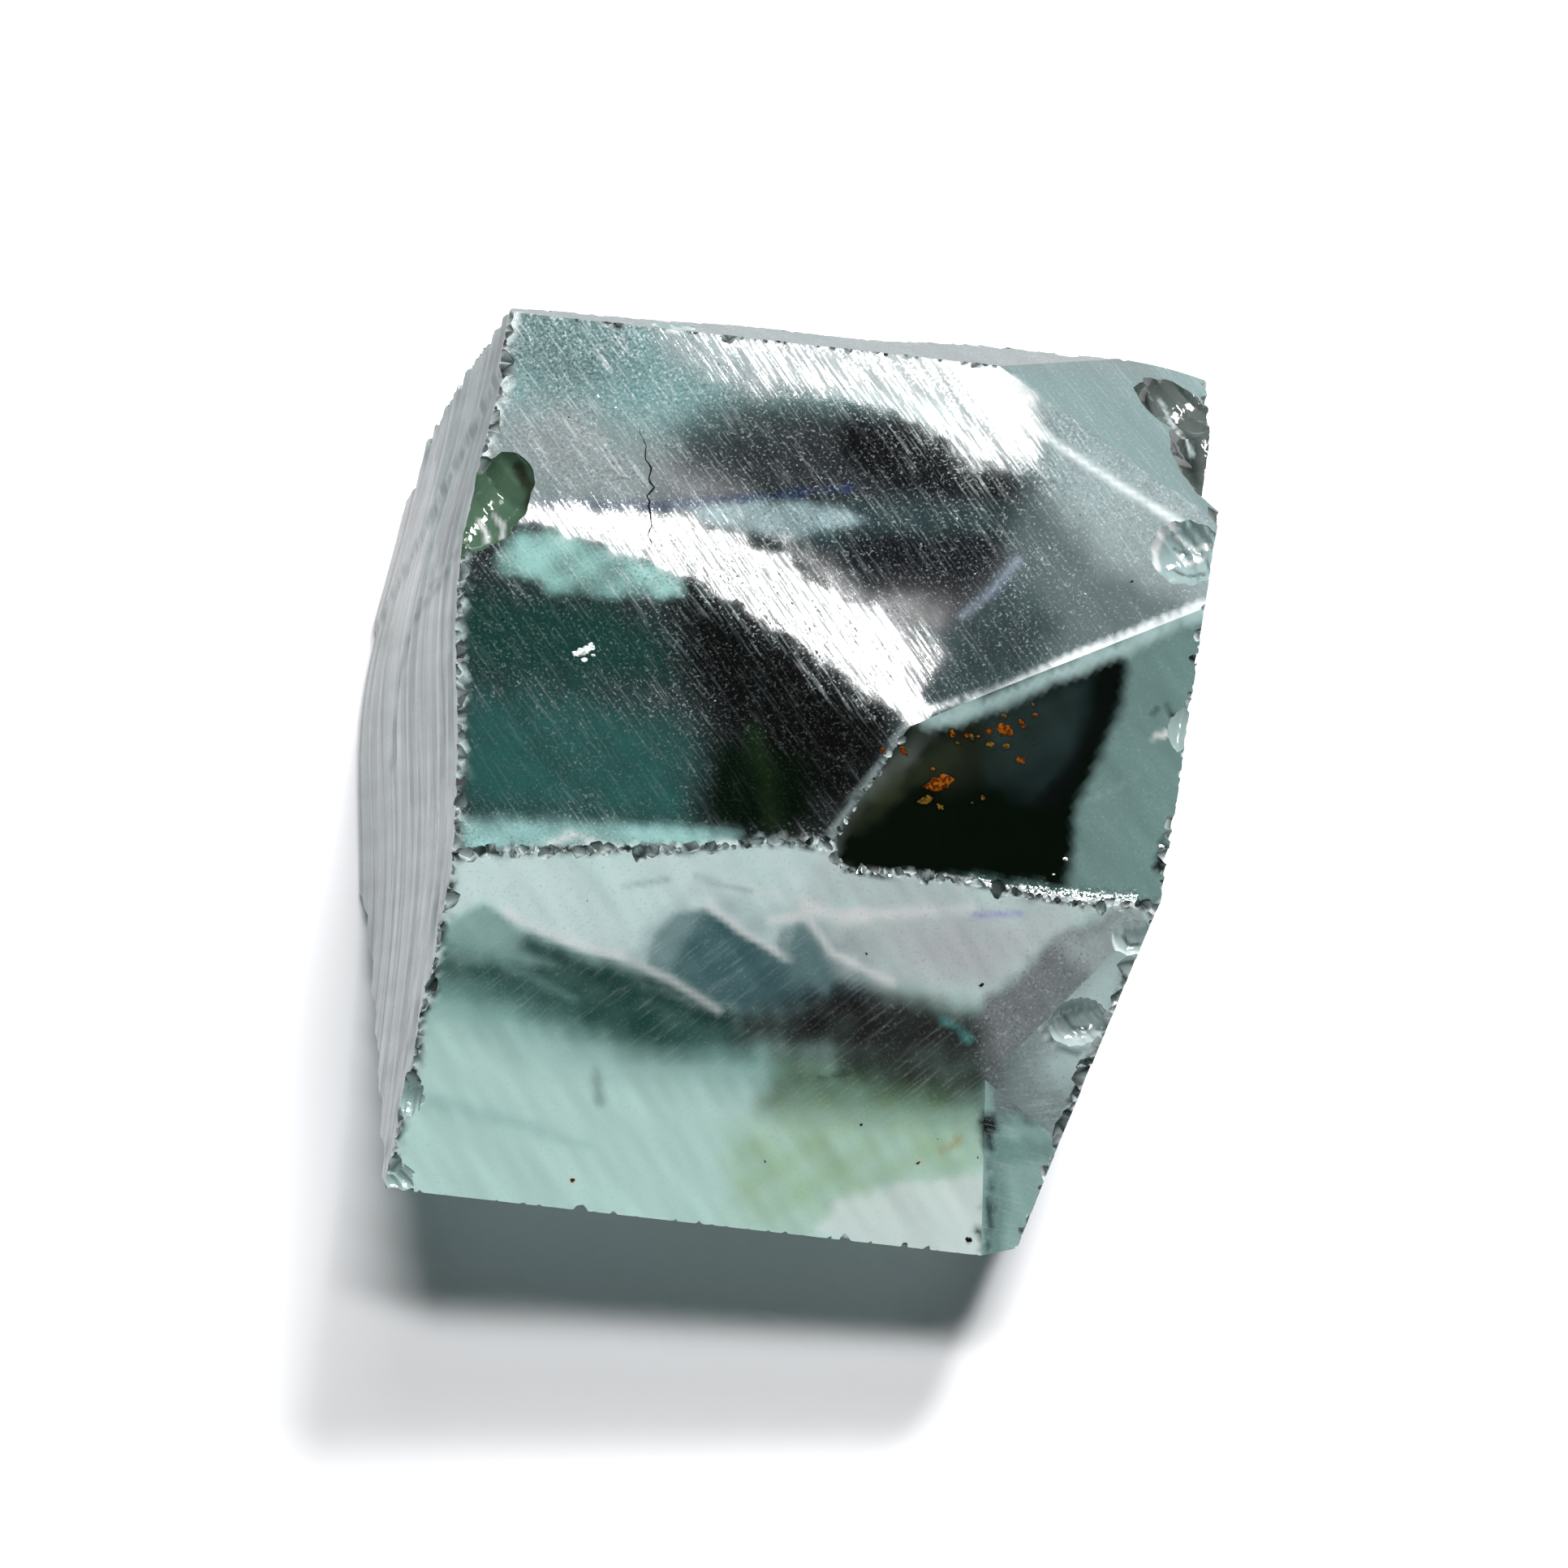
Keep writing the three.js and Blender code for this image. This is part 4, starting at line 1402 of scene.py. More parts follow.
HOLLOW_MARKS = (
    Mark(((4.4, -0.8), (7.3, 1.3), (9.6, 2.2), (9.0, 0.2), (6.3, -1.4)), (0.013, 0.015, 0.009), 0.9, 1.2),
    Mark(((11.4, 6.5), (11.3, 1.9), (10.55, -0.45), (10.3, -1.6), (10.5, -4.8), (14.4, -4.8), (14.4, 7.0)),
         (0.17, 0.27, 0.255), soft=0.5, specked=0.1),
    Mark(((6.8, -4.6), (8.8, -4.35), (12.4, -4.0)), (0.12, 0.22, 0.2), 0.7, 0.3, 0.5, lean=(-0.05, -0.095),
         specked=0.9),
    # Painted highlight: a pale strip under the bright fold from the frosted wing.
    Mark(((5.4, 0.45), (7.1, 1.4), (9.6, 3.1), (13.6, 5.9)), (0.5, 0.68, 0.67), 0.9, 0.3, 0.4, ragged=0.1),
    Mark(((2.9, -4.0), (3.7, -2.5), (4.7, -1.0), (5.4, 0.2)), (0.10, 0.115, 0.10), 0.9, 0.4, 0.6,
         ragged=0.2, cloudy=0.7),
    Mark(((7.1, 1.2), (8.2, 1.9), (10.2, 2.9), (10.1, 0.6), (9.4, -0.9), (8.7, -1.2), (7.4, -0.6)),
         (0.02, 0.036, 0.036), 0.9, 1.0, cloudy=0.5),
    Mark(((11.0, 3.4), (10.6, 1.3), (9.9, -0.3), (9.4, -1.2)), (0.002, 0.003, 0.003), 0.9, 0.4, 0.5),
    Mark(((3.7, -3.1), (4.8, -1.6), (6.2, -0.3)), (0.03, 0.034, 0.016), 0.8, 0.5, 0.6, cloudy=0.6),
    Mark(((13.1, -1.7), (12.9, -2.9), (13.3, -3.1), (13.4, -2.2)), (0.006, 0.006, 0.004), soft=0.15,
         ragged=0.05),
    Mark(((12.2, 2.1), (12.45, 2.42), (12.8, 2.6)), (0.06, 0.10, 0.095), 0.9, 0.12, 0.1, ragged=0.04),
    Mark(((12.85, 2.4), (13.0, 1.9), (13.4, 1.7)), (0.02, 0.03, 0.03), 0.9, 0.12, 0.14, ragged=0.04),
    # Painted glint: a white streak by the chip at the glassy hollow's right.
    Mark(((12.4, 1.4), (12.8, 1.6), (13.4, 1.6)), WHITE, 0.9, 0.12, 0.16, ragged=0.08, cloudy=0.4),
    Mark(((10.65, -0.97), (11.4, -0.5), (12.1, 0.1)), (0.26, 0.38, 0.36), 0.6, 0.15, 0.1, ragged=0.03),
)
FRONT_MARKS = (
    Mark(((-9.2, -9.0), (-4.4, -8.9), (0.6, -9.4), (2.8, -10.0), (9.0, -10.0), (9.0, -11.0), (3.2, -11.2),
         (-4.4, -11.2), (-9.2, -10.8)), (0.17, 0.37, 0.33), 0.8, 2.2, streaked=0.18),
    Mark(((2.1, -10.0), (5.4, -9.6), (8.8, -9.4), (8.7, -10.8), (4.8, -11.5), (1.8, -11.8)),
         (0.09, 0.15, 0.07), 0.95, 1.4, streaked=0.14, cloudy=0.25),
    Mark(((1.0, -12.5), (3.3, -11.4), (8.6, -10.9), (9.0, -12.3), (5.1, -13.9), (3.7, -14.9), (1.4, -14.9)),
         (0.42, 0.62, 0.36), 0.8, 1.8, streaked=0.18, cloudy=0.5),
    Mark(((-9.4, -9.1), (-6.2, -8.6), (-4.4, -8.4), (-1.0, -8.3), (1.2, -9.0), (1.2, -10.2), (-1.4, -10.8),
         (-4.5, -10.4), (-6.8, -10.0), (-9.4, -9.8)), (0.012, 0.06, 0.048), soft=1.3, streaked=0.16,
         cloudy=0.12),
    Mark(((-1.0, -5.9), (4.8, -6.5), (4.8, -8.2), (2.3, -9.2), (0.6, -9.3), (-1.7, -8.6), (-2.8, -8.0)),
         (0.06, 0.135, 0.15), soft=0.9, streaked=0.18, cloudy=0.12),
    Mark(((0.7, -9.3), (2.3, -8.6), (3.8, -7.7), (5.9, -7.7), (8.5, -8.0), (9.0, -9.2), (5.4, -9.7),
         (2.5, -10.0), (1.0, -9.9)), (0.008, 0.005, 0.005), soft=1.3, streaked=0.14, cloudy=0.06),
    Mark(((-9.4, -9.0), (-7.3, -7.5), (-6.0, -7.9), (-4.2, -8.3), (-4.4, -8.8), (-6.2, -8.9)),
         (0.25, 0.42, 0.40), 0.9, 0.25, ragged=0.04, cloudy=0.2),
    Mark(((-9.6, -6.0), (-3.6, -5.0), (1.9, -4.0), (3.4, -4.2), (2.8, -6.4), (2.25, -6.4), (2.1, -7.5),
         (0.7, -7.0), (-0.6, -6.5), (-1.5, -6.8), (-2.0, -7.4), (-2.2, -8.3), (-4.2, -8.3), (-6.1, -8.0),
         (-7.4, -7.4), (-9.5, -8.8)), (0.84, 1.0, 1.0), soft=0.25, specked=0.3, streaked=0.3, ragged=0.04,
         cloudy=0.4),
    Mark(((2.1, -6.3), (3.0, -3.8), (5.1, -4.1), (11.8, -4.2), (10.4, -5.4), (8.8, -6.9), (8.0, -7.5),
         (5.9, -7.5), (3.9, -7.6)), (0.68, 0.78, 0.78), specked=0.3, streaked=0.3, cloudy=0.5),
    Mark(((3.8, -6.3), (8.3, -5.2), (10.3, -5.4), (8.8, -7.0), (5.8, -7.4)), (0.62, 0.60, 0.63), 0.6, 1.4),
    Mark(((8.5, -9.6), (8.05, -8.6), (8.3, -7.6), (10.2, -5.5), (12.0, -4.3), (13.8, -4.5), (12.8, -7.0),
         (9.4, -9.8)), (0.24, 0.26, 0.27), soft=0.5, specked=0.4),
    Mark(((10.4, -5.6), (12.4, -4.3), (13.8, -4.5), (11.8, -6.5)), (0.5, 0.58, 0.58), 0.8),
    Mark(((-2.2, -9.0), (-1.2, -9.05), (-0.2, -9.3)), (0.5, 0.7, 0.68), 0.7, 0.2, 0.15, ragged=0.0),
    Mark(((4.2, -9.5), (5.4, -8.2), (8.4, -8.2), (8.9, -9.7), (8.7, -10.4), (5.8, -10.4), (4.2, -10.3)),
         (0.014, 0.013, 0.010), 0.9, 1.0, streaked=0.12, cloudy=0.2),
    Mark(((-5.78, -8.4), (-4.0, -8.8), (-1.9, -9.05), (0.5, -9.5)), (0.008, 0.045, 0.036), 0.9, 0.5, 0.5,
         ragged=0.1),
    Mark(((-8.8, -8.8), (-6.9, -8.95), (-5.5, -9.3), (-4.2, -9.65)), (0.16, 0.30, 0.27), 0.7, 0.3, 0.2,
         ragged=0.08),
    Mark(((-6.7, -7.6), (-4.9, -8.05), (-3.2, -8.2), (-1.4, -8.6), (0.2, -9.2)), WHITE, 0.8, 0.25, 0.2,
         ragged=0.03, cloudy=0.3),
    Mark(((-2.6, -8.2), (-2.2, -7.2), (-1.4, -6.7), (-0.7, -6.7), (-1.2, -7.6), (-1.6, -8.4)),
         (0.34, 0.47, 0.48), 0.7, 0.6, streaked=0.4, cloudy=0.3),
    Mark(((-0.5, -6.38), (0.8, -7.0), (2.25, -7.45)), WHITE, 0.8, 0.2, 0.18, ragged=0.03),
    Mark(((1.78, -6.6), (2.53, -6.4), (3.67, -7.6), (3.41, -8.26), (2.3, -7.7), (1.7, -7.15)),
         (0.16, 0.27, 0.28), 0.7, 0.3, ragged=0.04),
    Mark(((1.4, -6.5), (2.5, -6.15), (3.45, -7.05), (5.4, -7.55)), WHITE, 0.8, 0.25, 0.2, ragged=0.03),
    Mark(((-0.8, -5.7), (0.6, -5.7), (2.8, -5.9), (5.1, -5.7)), WHITE, 0.6, 0.3, 0.2, cloudy=0.5),
    Mark(((3.4, -10.6), (4.2, -10.3), (4.9, -10.05)), (0.03, 0.05, 0.03), 0.8, 0.2, 0.14),
    Mark(((7.55, -12.0), (7.9, -11.7), (8.0, -11.5)), (0.45, 0.36, 0.10), 0.7, 0.3, 0.2),
    Mark(((7.1, -8.35), (7.6, -8.45), (7.9, -8.7)), (0.07, 0.30, 0.29), 0.9, 0.25, 0.22),
    Mark(((7.35, -8.35), (7.55, -8.4)), (0.6, 0.9, 0.9), 0.9, 0.1, 0.1),
    Mark(((4.6, -13.8), (6.6, -13.0), (9.1, -12.2), (9.6, -15.2), (6.8, -15.2), (4.0, -14.7)),
         (0.9, 1.0, 0.96), 0.9, 0.5),
    Mark(((-3.3, -11.5), (-3.1, -12.3)), (0.25, 0.36, 0.34), 0.7, 0.4, 0.25),
    Mark(((-8.4, -12.9), (-5.7, -13.1), (-3.3, -13.6), (-5.7, -13.45), (-8.4, -13.4)), (0.38, 0.64, 0.58),
         0.5, 0.4),
    Mark(((-3.1, -6.3), (-1.8, -5.9)), (0.3, 0.4, 0.4), 0.6, 0.2, 0.12, ragged=0.0),
    Mark(((-1.0, -5.7), (0.7, -5.8)), (0.3, 0.4, 0.4), 0.6, 0.2, 0.12, ragged=0.0),
    Mark(((2.5, -5.9), (3.5, -6.1), (5.3, -5.6), (7.5, -5.1)), WHITE, 0.8, 0.4, 0.25),
    Mark(((7.6, -5.3), (9.1, -5.0)), (0.25, 0.2, 0.75), 0.6, 0.2, 0.12, ragged=0.0),
    Mark(((8.8, -10.7), (8.9, -11.3), (9.1, -12.3), (9.1, -13.0), (9.25, -14.4)), (0.05, 0.085, 0.08), 0.9,
         0.15, 0.16),
    Mark(((8.82, -10.75), (8.85, -11.0)), BLACK, soft=0.2, width=0.4),
    Mark(((9.0, -13.95), (9.2, -14.1)), BLACK, soft=0.2, width=0.34),
)
NOTCH_UPPER_MARKS = (
    Mark(((7.8, -8.4), (8.5, -7.8), (10.3, -5.7), (9.7, -5.9), (9.1, -8.2), (9.1, -10.9), (8.6, -10.7)),
         (0.065, 0.07, 0.07), 0.9, 1.5, specked=0.5, streaked=0.3),
    Mark(((12.4, -5.0), (10.8, -7.0), (10.4, -9.0), (11.8, -9.4), (13.3, -6.0)), (0.75, 0.95, 0.95), 0.9,
         1.4, streaked=0.3),
    Mark(((10.2, -7.5), (10.25, -8.0), (10.65, -8.3), (11.3, -8.35), (11.9, -8.05)), (0.05, 0.07, 0.07),
         0.9, 0.12, 0.1, ragged=0.03),
    # Painted glint: a white arc on the notch's chip.
    Mark(((10.1, -7.4), (10.1, -8.0), (10.55, -8.4)), (0.9, 1.0, 1.0), 0.8, 0.12, 0.1, ragged=0.03),
)
NOTCH_LOWER_MARKS = (
    Mark(((8.6, -9.4), (11.4, -8.6), (11.1, -10.1), (9.05, -10.65)), (0.19, 0.235, 0.24), soft=0.3,
         specked=0.3, streaked=0.4, ragged=0.05),
    Mark(((9.0, -10.7), (11.1, -10.15), (11.05, -10.25), (9.0, -10.85)), (0.12, 0.2, 0.19), 0.8, 0.15,
         ragged=0.05),
    Mark(((9.2, -11.25), (10.9, -10.75), (10.95, -11.35), (9.3, -11.9)), (0.20, 0.34, 0.32), 0.8, 0.2),
    Mark(((9.0, -10.8), (9.3, -12.0), (9.6, -14.2)), (0.17, 0.28, 0.26), 0.8, 0.4, 0.6),
    Mark(((8.9, -10.75), (9.0, -11.3), (9.15, -12.3), (9.2, -13.0), (9.35, -14.4)), (0.03, 0.05, 0.048),
         0.9, 0.12, 0.14),
    Mark(((8.9, -10.75), (8.95, -11.0)), BLACK, soft=0.2, width=0.4),
)
LEFT_MARKS = (
    Mark(((14.5, 13.5), (6.0, 13.3), (3.0, 12.0), (5.0, 7.5), (9.0, 5.0), (14.5, 5.0)), (0.52, 0.64, 0.64),
         0.8, 1.6, cloudy=0.5),
    Mark(((6.5, 1.2), (6.0, 2.6), (4.8, 2.8), (4.6, 1.4)), (0.2, 0.24, 0.22), 0.7, 0.9, cloudy=0.5),
    Mark(((12.4, 12.9), (11.0, 13.2), (10.0, 11.8), (11.4, 10.8)), (0.36, 0.26, 0.28), 0.7, 1.0),
    Mark(((-15, 1.0), (15, 1.0), (15, 4.5), (-15, 4.0)), (0.80, 0.78, 0.82), 0.4, 2.5, cloudy=0.4),
    Mark(((13.5, 13.0), (13.0, 9.0), (12.2, 5.0), (11.5, 0.0)), (0.16, 0.27, 0.26), 0.8, width=0.7,
         cloudy=0.5),
    Mark(((13.2, 12.8), (12.8, 6.0), (12.4, 2.8), (9.2, 5.2), (4.5, 9.4), (4.2, 13.2)), (0.58, 0.65, 0.66),
         0.8, 0.4, ragged=0.1, cloudy=0.3),
    Mark(((8.6, 9.7), (7.0, 8.6), (4.6, 8.8), (4.4, 10.8), (6.0, 11.6)), (0.36, 0.29, 0.31), 0.6, 1.2,
         cloudy=0.4),
    # Painted highlight: a white diagonal, leaned towards the lamps.
    Mark(((12.4, 2.8), (9.2, 5.2), (4.5, 9.4)), WHITE, 0.8, 0.3, 0.35, lean=(0.5, 0.0), ragged=0.1,
         cloudy=0.3),
    # Painted shade: a grey stroke beside the white rim that follows.
    Mark(((3.9, 12.7), (3.7, 9.4), (3.9, 7.6), (3.6, 6.4), (2.8, 5.8), (1.2, 5.2), (-0.4, 4.7)),
         (0.34, 0.36, 0.36), 0.7, 0.4, 0.4, lean=(-0.2, -0.3), ragged=0.1, cloudy=0.3),
    # Painted highlight: a white rim line, leaned towards the lamps.
    line(((4.3, 12.8), (4.3, 11.0), (4.1, 9.6), (4.4, 8.0), (4.1, 6.8), (3.2, 6.2), (1.7, 5.6), (0.0, 5.2)),
         WHITE, 0.4, 1.0, 0.25, ragged=0.08, lean=(0.7, 0.0)),
    # Painted light: the side made whiter low down, and leaned towards the lamps.
    Mark(((12.0, 0.0), (9.0, 2.6), (5.0, 5.6), (1.5, 4.2), (0.5, 0.0)), WHITE, 0.6, 1.2, lean=(0.3, 0.0),
         cloudy=0.4),
    Mark(((13.0, 1.6), (12.2, 0.9), (11.4, 0.6)), (0.08, 0.19, 0.17), 0.8, 0.4, 0.7, cloudy=0.4),
    Mark(((9.0, 13.2), (4.0, 13.0), (-2.0, 12.2), (-8.0, 11.0), (-14.5, 8.2)), (0.34, 0.38, 0.38), 0.7, 0.4,
         0.5, cloudy=0.6),
    Mark(((7.0, 12.2), (2.0, 11.9), (-5.0, 10.6), (-13.0, 7.8)), (0.5, 0.5, 0.52), 0.6, 0.3, 0.3, cloudy=0.5),
    Mark(((6.5, 10.8), (1.0, 10.6), (-5.0, 9.4), (-13.0, 6.6)), (0.6, 0.58, 0.6), 0.5, 0.3, 0.3, cloudy=0.5),
)
BREAK_MARKS = (
    Mark(((-8.45, 6.9), (-7.95, 6.2), (-7.9, 5.3), (-8.2, 4.4), (-8.8, 3.9)), (0.03, 0.025, 0.012), 0.9,
         0.15, 0.16),
    # Painted glints: white lines on the oval chip's break.
    line(((-9.0, 5.3), (-8.6, 4.9), (-8.55, 4.4)), WHITE, 0.12, soft=0.15),
    line(((-9.4, 5.0), (-9.1, 4.6), (-9.0, 4.2)), WHITE, 0.14, soft=0.15),
    # Painted glints: white lines on the round chip's break.
    line(((11.8, 6.9), (11.65, 7.6), (11.8, 8.2), (12.2, 8.5)), WHITE, 0.22, 1.0, 0.12, ragged=0.08),
    line(((12.3, 8.2), (12.9, 8.0), (13.4, 8.1)), WHITE, 0.14, 1.0),
    line(((12.4, 7.7), (12.8, 7.5), (13.2, 7.7)), WHITE, 0.14, 1.0),
    line(((12.2, 7.2), (12.7, 7.0), (13.3, 7.1)), (0.02, 0.025, 0.025), 0.1, 0.8),
    line(((12.15, 7.9), (12.7, 7.8)), (0.05, 0.06, 0.06), 0.1, 0.8),
    # Painted glints: white arcs on the two chips at the right, each beside a dark arc.
    line(((10.5, -7.5), (10.7, -7.8), (11.2, -7.9), (11.7, -7.7)), (0.95, 1.0, 1.0), 0.1, ragged=0.03),
    line(((10.8, -7.3), (11.1, -7.55), (11.5, -7.5)), (0.16, 0.21, 0.21), 0.1, 0.8, ragged=0.03),
    line(((11.9, -5.1), (12.15, -5.45), (12.55, -5.5), (12.85, -5.35)), (0.95, 1.0, 1.0), 0.1, ragged=0.03),
    line(((12.3, -5.0), (12.5, -5.2), (12.8, -5.1)), (0.04, 0.05, 0.05), 0.1, ragged=0.03),
    Mark(((11.8, 13.6), (12.5, 12.6), (12.7, 11.2), (12.2, 11.6)), (0.02, 0.022, 0.022), 0.9, 0.5),
    line(((10.3, 14.0), (11.0, 12.8), (11.6, 11.6), (12.5, 10.4)), (0.02, 0.02, 0.018), 0.12),
    line(((10.6, 14.2), (11.4, 13.0), (12.0, 11.8)), (0.02, 0.02, 0.018), 0.1),
    # Painted glints: pale arcs in the stepped chip at the back corner.
    line(((11.1, 14.4), (11.8, 13.3), (12.4, 12.2)), (0.75, 0.85, 0.85), 0.1),
    line(((10.4, 13.7), (11.1, 12.5), (11.8, 11.3)), (0.75, 0.85, 0.85), 0.08, 0.8),
)
BACK_MARKS = (
    Mark(((-12.5, 2.0), (-4.0, 0.8), (2.0, 4.5), (-2.0, 8.5), (-11.5, 9.0)), (0.13, 0.24, 0.24), 0.8, 3.0,
         streaked=0.6, cloudy=0.6),
    Mark(((3.0, 1.0), (10.5, 1.5), (12.0, 6.0), (6.0, 7.5)), (0.62, 0.74, 0.73), 0.7, 2.5, cloudy=0.6),
    Mark(((-9.0, 10.8), (-4.0, 10.2), (1.0, 8.6), (5.0, 6.2)), (0.75, 0.85, 0.84), 0.8, 0.6, 0.5,
         ragged=0.3, cloudy=0.5),
    Mark(((5.5, 3.8), (7.4, 3.0), (8.2, 4.2), (6.6, 5.0)), (0.20, 0.12, 0.05), 0.4, 1.2, cloudy=0.7),
)
RIGHT_MARKS = (
    Mark(((-2.0, 3.0), (6.0, 2.0), (11.5, 5.0), (4.0, 8.0)), (0.20, 0.32, 0.31), 0.7, 3.0, cloudy=0.6),
    line(((-4.5, 8.6), (2.0, 9.0), (9.5, 8.2)), (0.85, 0.93, 0.92), 0.6, 0.7, 0.8, ragged=0.3, cloudy=0.5),
    Mark(((-3.0, 0.8), (0.5, 1.4), (2.5, 0.6)), (0.24, 0.13, 0.05), 0.4, 1.0, 0.6, cloudy=0.7),
)
BEVEL_MARKS = (
    Mark(((5.8, 12.5), (8.3, 13.8), (12.3, 15.4), (8.8, 15.6), (5.8, 14.5)), (0.16, 0.21, 0.21), 0.8, 1.2),
    # Painted highlight: a pale line along the bevel's fold.
    Mark(((6.6, 12.4), (8.7, 10.4), (12.6, 9.1)), (0.8, 0.9, 0.9), 0.8, 0.3, 0.25),
)
MARKS: dict[str, tuple[Mark, ...]] = {
    "satin_top": TOP_MARKS,
    "glassy_hollow": HOLLOW_MARKS,
    "front_slope": FRONT_MARKS,
    "notch_upper": NOTCH_UPPER_MARKS,
    "notch_lower": NOTCH_LOWER_MARKS,
    "left_prism": from_the_side(LEFT_MARKS),
    "breaks": BREAK_MARKS,
    "back": from_behind(BACK_MARKS),
    "right_prism": from_the_side(RIGHT_MARKS),
    "corner_bevel": BEVEL_MARKS,
}


class Substance(Enum):
    """What a small piece on the stone is made of: its light and dark colours, and its roughness."""

    RUST = ((0.17, 0.045, 0.0), (0.035, 0.006, 0.0), 0.9)
    OCHRE = ((0.10, 0.058, 0.004), (0.030, 0.018, 0.002), 0.9)
    CARBON = ((0.006, 0.006, 0.007), (0.001, 0.001, 0.001), 0.6)
    # White lumps of this are crushed grains, and in the glints piece they are painted glints.
    CRUSHED = ((0.95, 0.97, 0.97), (0.45, 0.50, 0.50), 0.5)

    def make(self) -> bpy.types.Material:
        """The material of such a piece."""
        light, dark, roughness = self.value
        grain_size, relief_height, gloss = 0.12, 0.03, 0.08
        material = bpy.data.materials.new(self.name.lower())
        material.use_nodes = True
        nodes = Nodes(material.node_tree)
        skin = material.node_tree.nodes["Principled BSDF"]
        place = nodes.add("ShaderNodeTexCoord").outputs["Object"]
        grain = nodes.noise(place, (grain_size,) * 3, detail=1.0, roughness=0.6)
        colour = nodes.add("ShaderNodeMix", data_type="RGBA")
        nodes.feed(colour.inputs[0], nodes.grade(grain, 0.38, 0.6))
        colour.inputs[6].default_value = (*light, 1.0)
        colour.inputs[7].default_value = (*dark, 1.0)
        nodes.feed(skin.inputs["Base Color"], colour.outputs[2])
        relief = nodes.add("ShaderNodeBump")
        relief.inputs["Distance"].default_value = relief_height * MM
        nodes.feed(relief.inputs["Height"], grain)
        nodes.feed(skin.inputs["Normal"], relief.outputs[0])
        skin.inputs["Roughness"].default_value = roughness
        skin.inputs["Specular IOR Level"].default_value = gloss
        return material


@dataclass(frozen=True)
class Flakes:
    """Small irregular crusts stuck on a facet. White ones of these, in the glints piece, are painted glints.

    Attributes:
        spots: Each one's place as seen from above and its radius, in the frame's millimetres.
        height: How high they stand, as a share of their radius.
        rim, rings: How many corners and rings each has.
        sunk: How far the rim lies under the surface.
        oval, jagged: How far the outline strays from round, evenly and by chance.
        lumps: Least and largest factor on the height.
    """

    name: str
    facet: str
    substance: Substance
    spots: tuple[Triple, ...]
    height: float = 0.25
    seed: int = 3
    rim: int = 14
    rings: int = 3
    sunk: float = 0.03
    oval: float = 0.25
    jagged: float = 0.15
    lumps: Pair = (0.6, 1.3)

    def build(self, shape: StoneShape) -> Item:
        """Builds the flakes as one object.

        Args:
            shape: Where the stone's facets are.

        Returns:
            The object, in the frame.
        """
        facet = shape.facet(self.facet)
        random = np.random.default_rng(self.seed)
        mesh = bmesh.new()
        for x, y, radius in self.spots:
            self.add(mesh, facet, np.array([x, y]), radius, random)
        item = object_from(mesh, self.name)
        for face in item.data.polygons:
            face.use_smooth = True
        item.data.materials.append(self.substance.make())
        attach(item, BODY)
        return item

    def add(self, mesh: bmesh.types.BMesh, facet: Facet, middle: Array, radius: float,
            random: np.random.Generator) -> None:
        """Adds one closed flake: a low lumpy dome over a sunken floor.

        Args:
            mesh: What it is added to.
            facet: The facet that it sits on.
            middle: Its place as seen from above.
            radius: Its radius.
            random: The source of its shape.
        """
        angles = np.linspace(0, 2 * pi, self.rim, endpoint=False)
        swelling = self.oval * np.sin(2 * angles + random.uniform(0, 6))
        edge = radius * (1 + swelling + self.jagged * random.normal(0, 1, self.rim))
        rings = []
        for k in range(1, self.rings + 1):
            share = k / self.rings
            flat = middle + (edge * share)[:, None] * np.stack([np.cos(angles), np.sin(angles)], 1)
            dome = self.height * radius * (1 - share**2)
            lift = dome * random.uniform(*self.lumps, self.rim) - self.sunk * share
            rings.append([mesh.verts.new(tuple(p * MM)) for p in surface(facet, flat, lift)])
        peak = surface(facet, middle[None, :], np.array([self.height * radius]))[0]
        floor = surface(facet, middle[None, :], np.array([-2 * self.sunk]))[0]
        top, bottom = mesh.verts.new(tuple(peak * MM)), mesh.verts.new(tuple(floor * MM))
        for i in range(self.rim):
            j = (i + 1) % self.rim
            mesh.faces.new((top, rings[0][i], rings[0][j]))
            for inner, outer in zip(rings[:-1], rings[1:]):
                mesh.faces.new((inner[i], outer[i], outer[j]))
                mesh.faces.new((inner[i], outer[j], inner[j]))
            mesh.faces.new((rings[-1][i], bottom, rings[-1][j]))


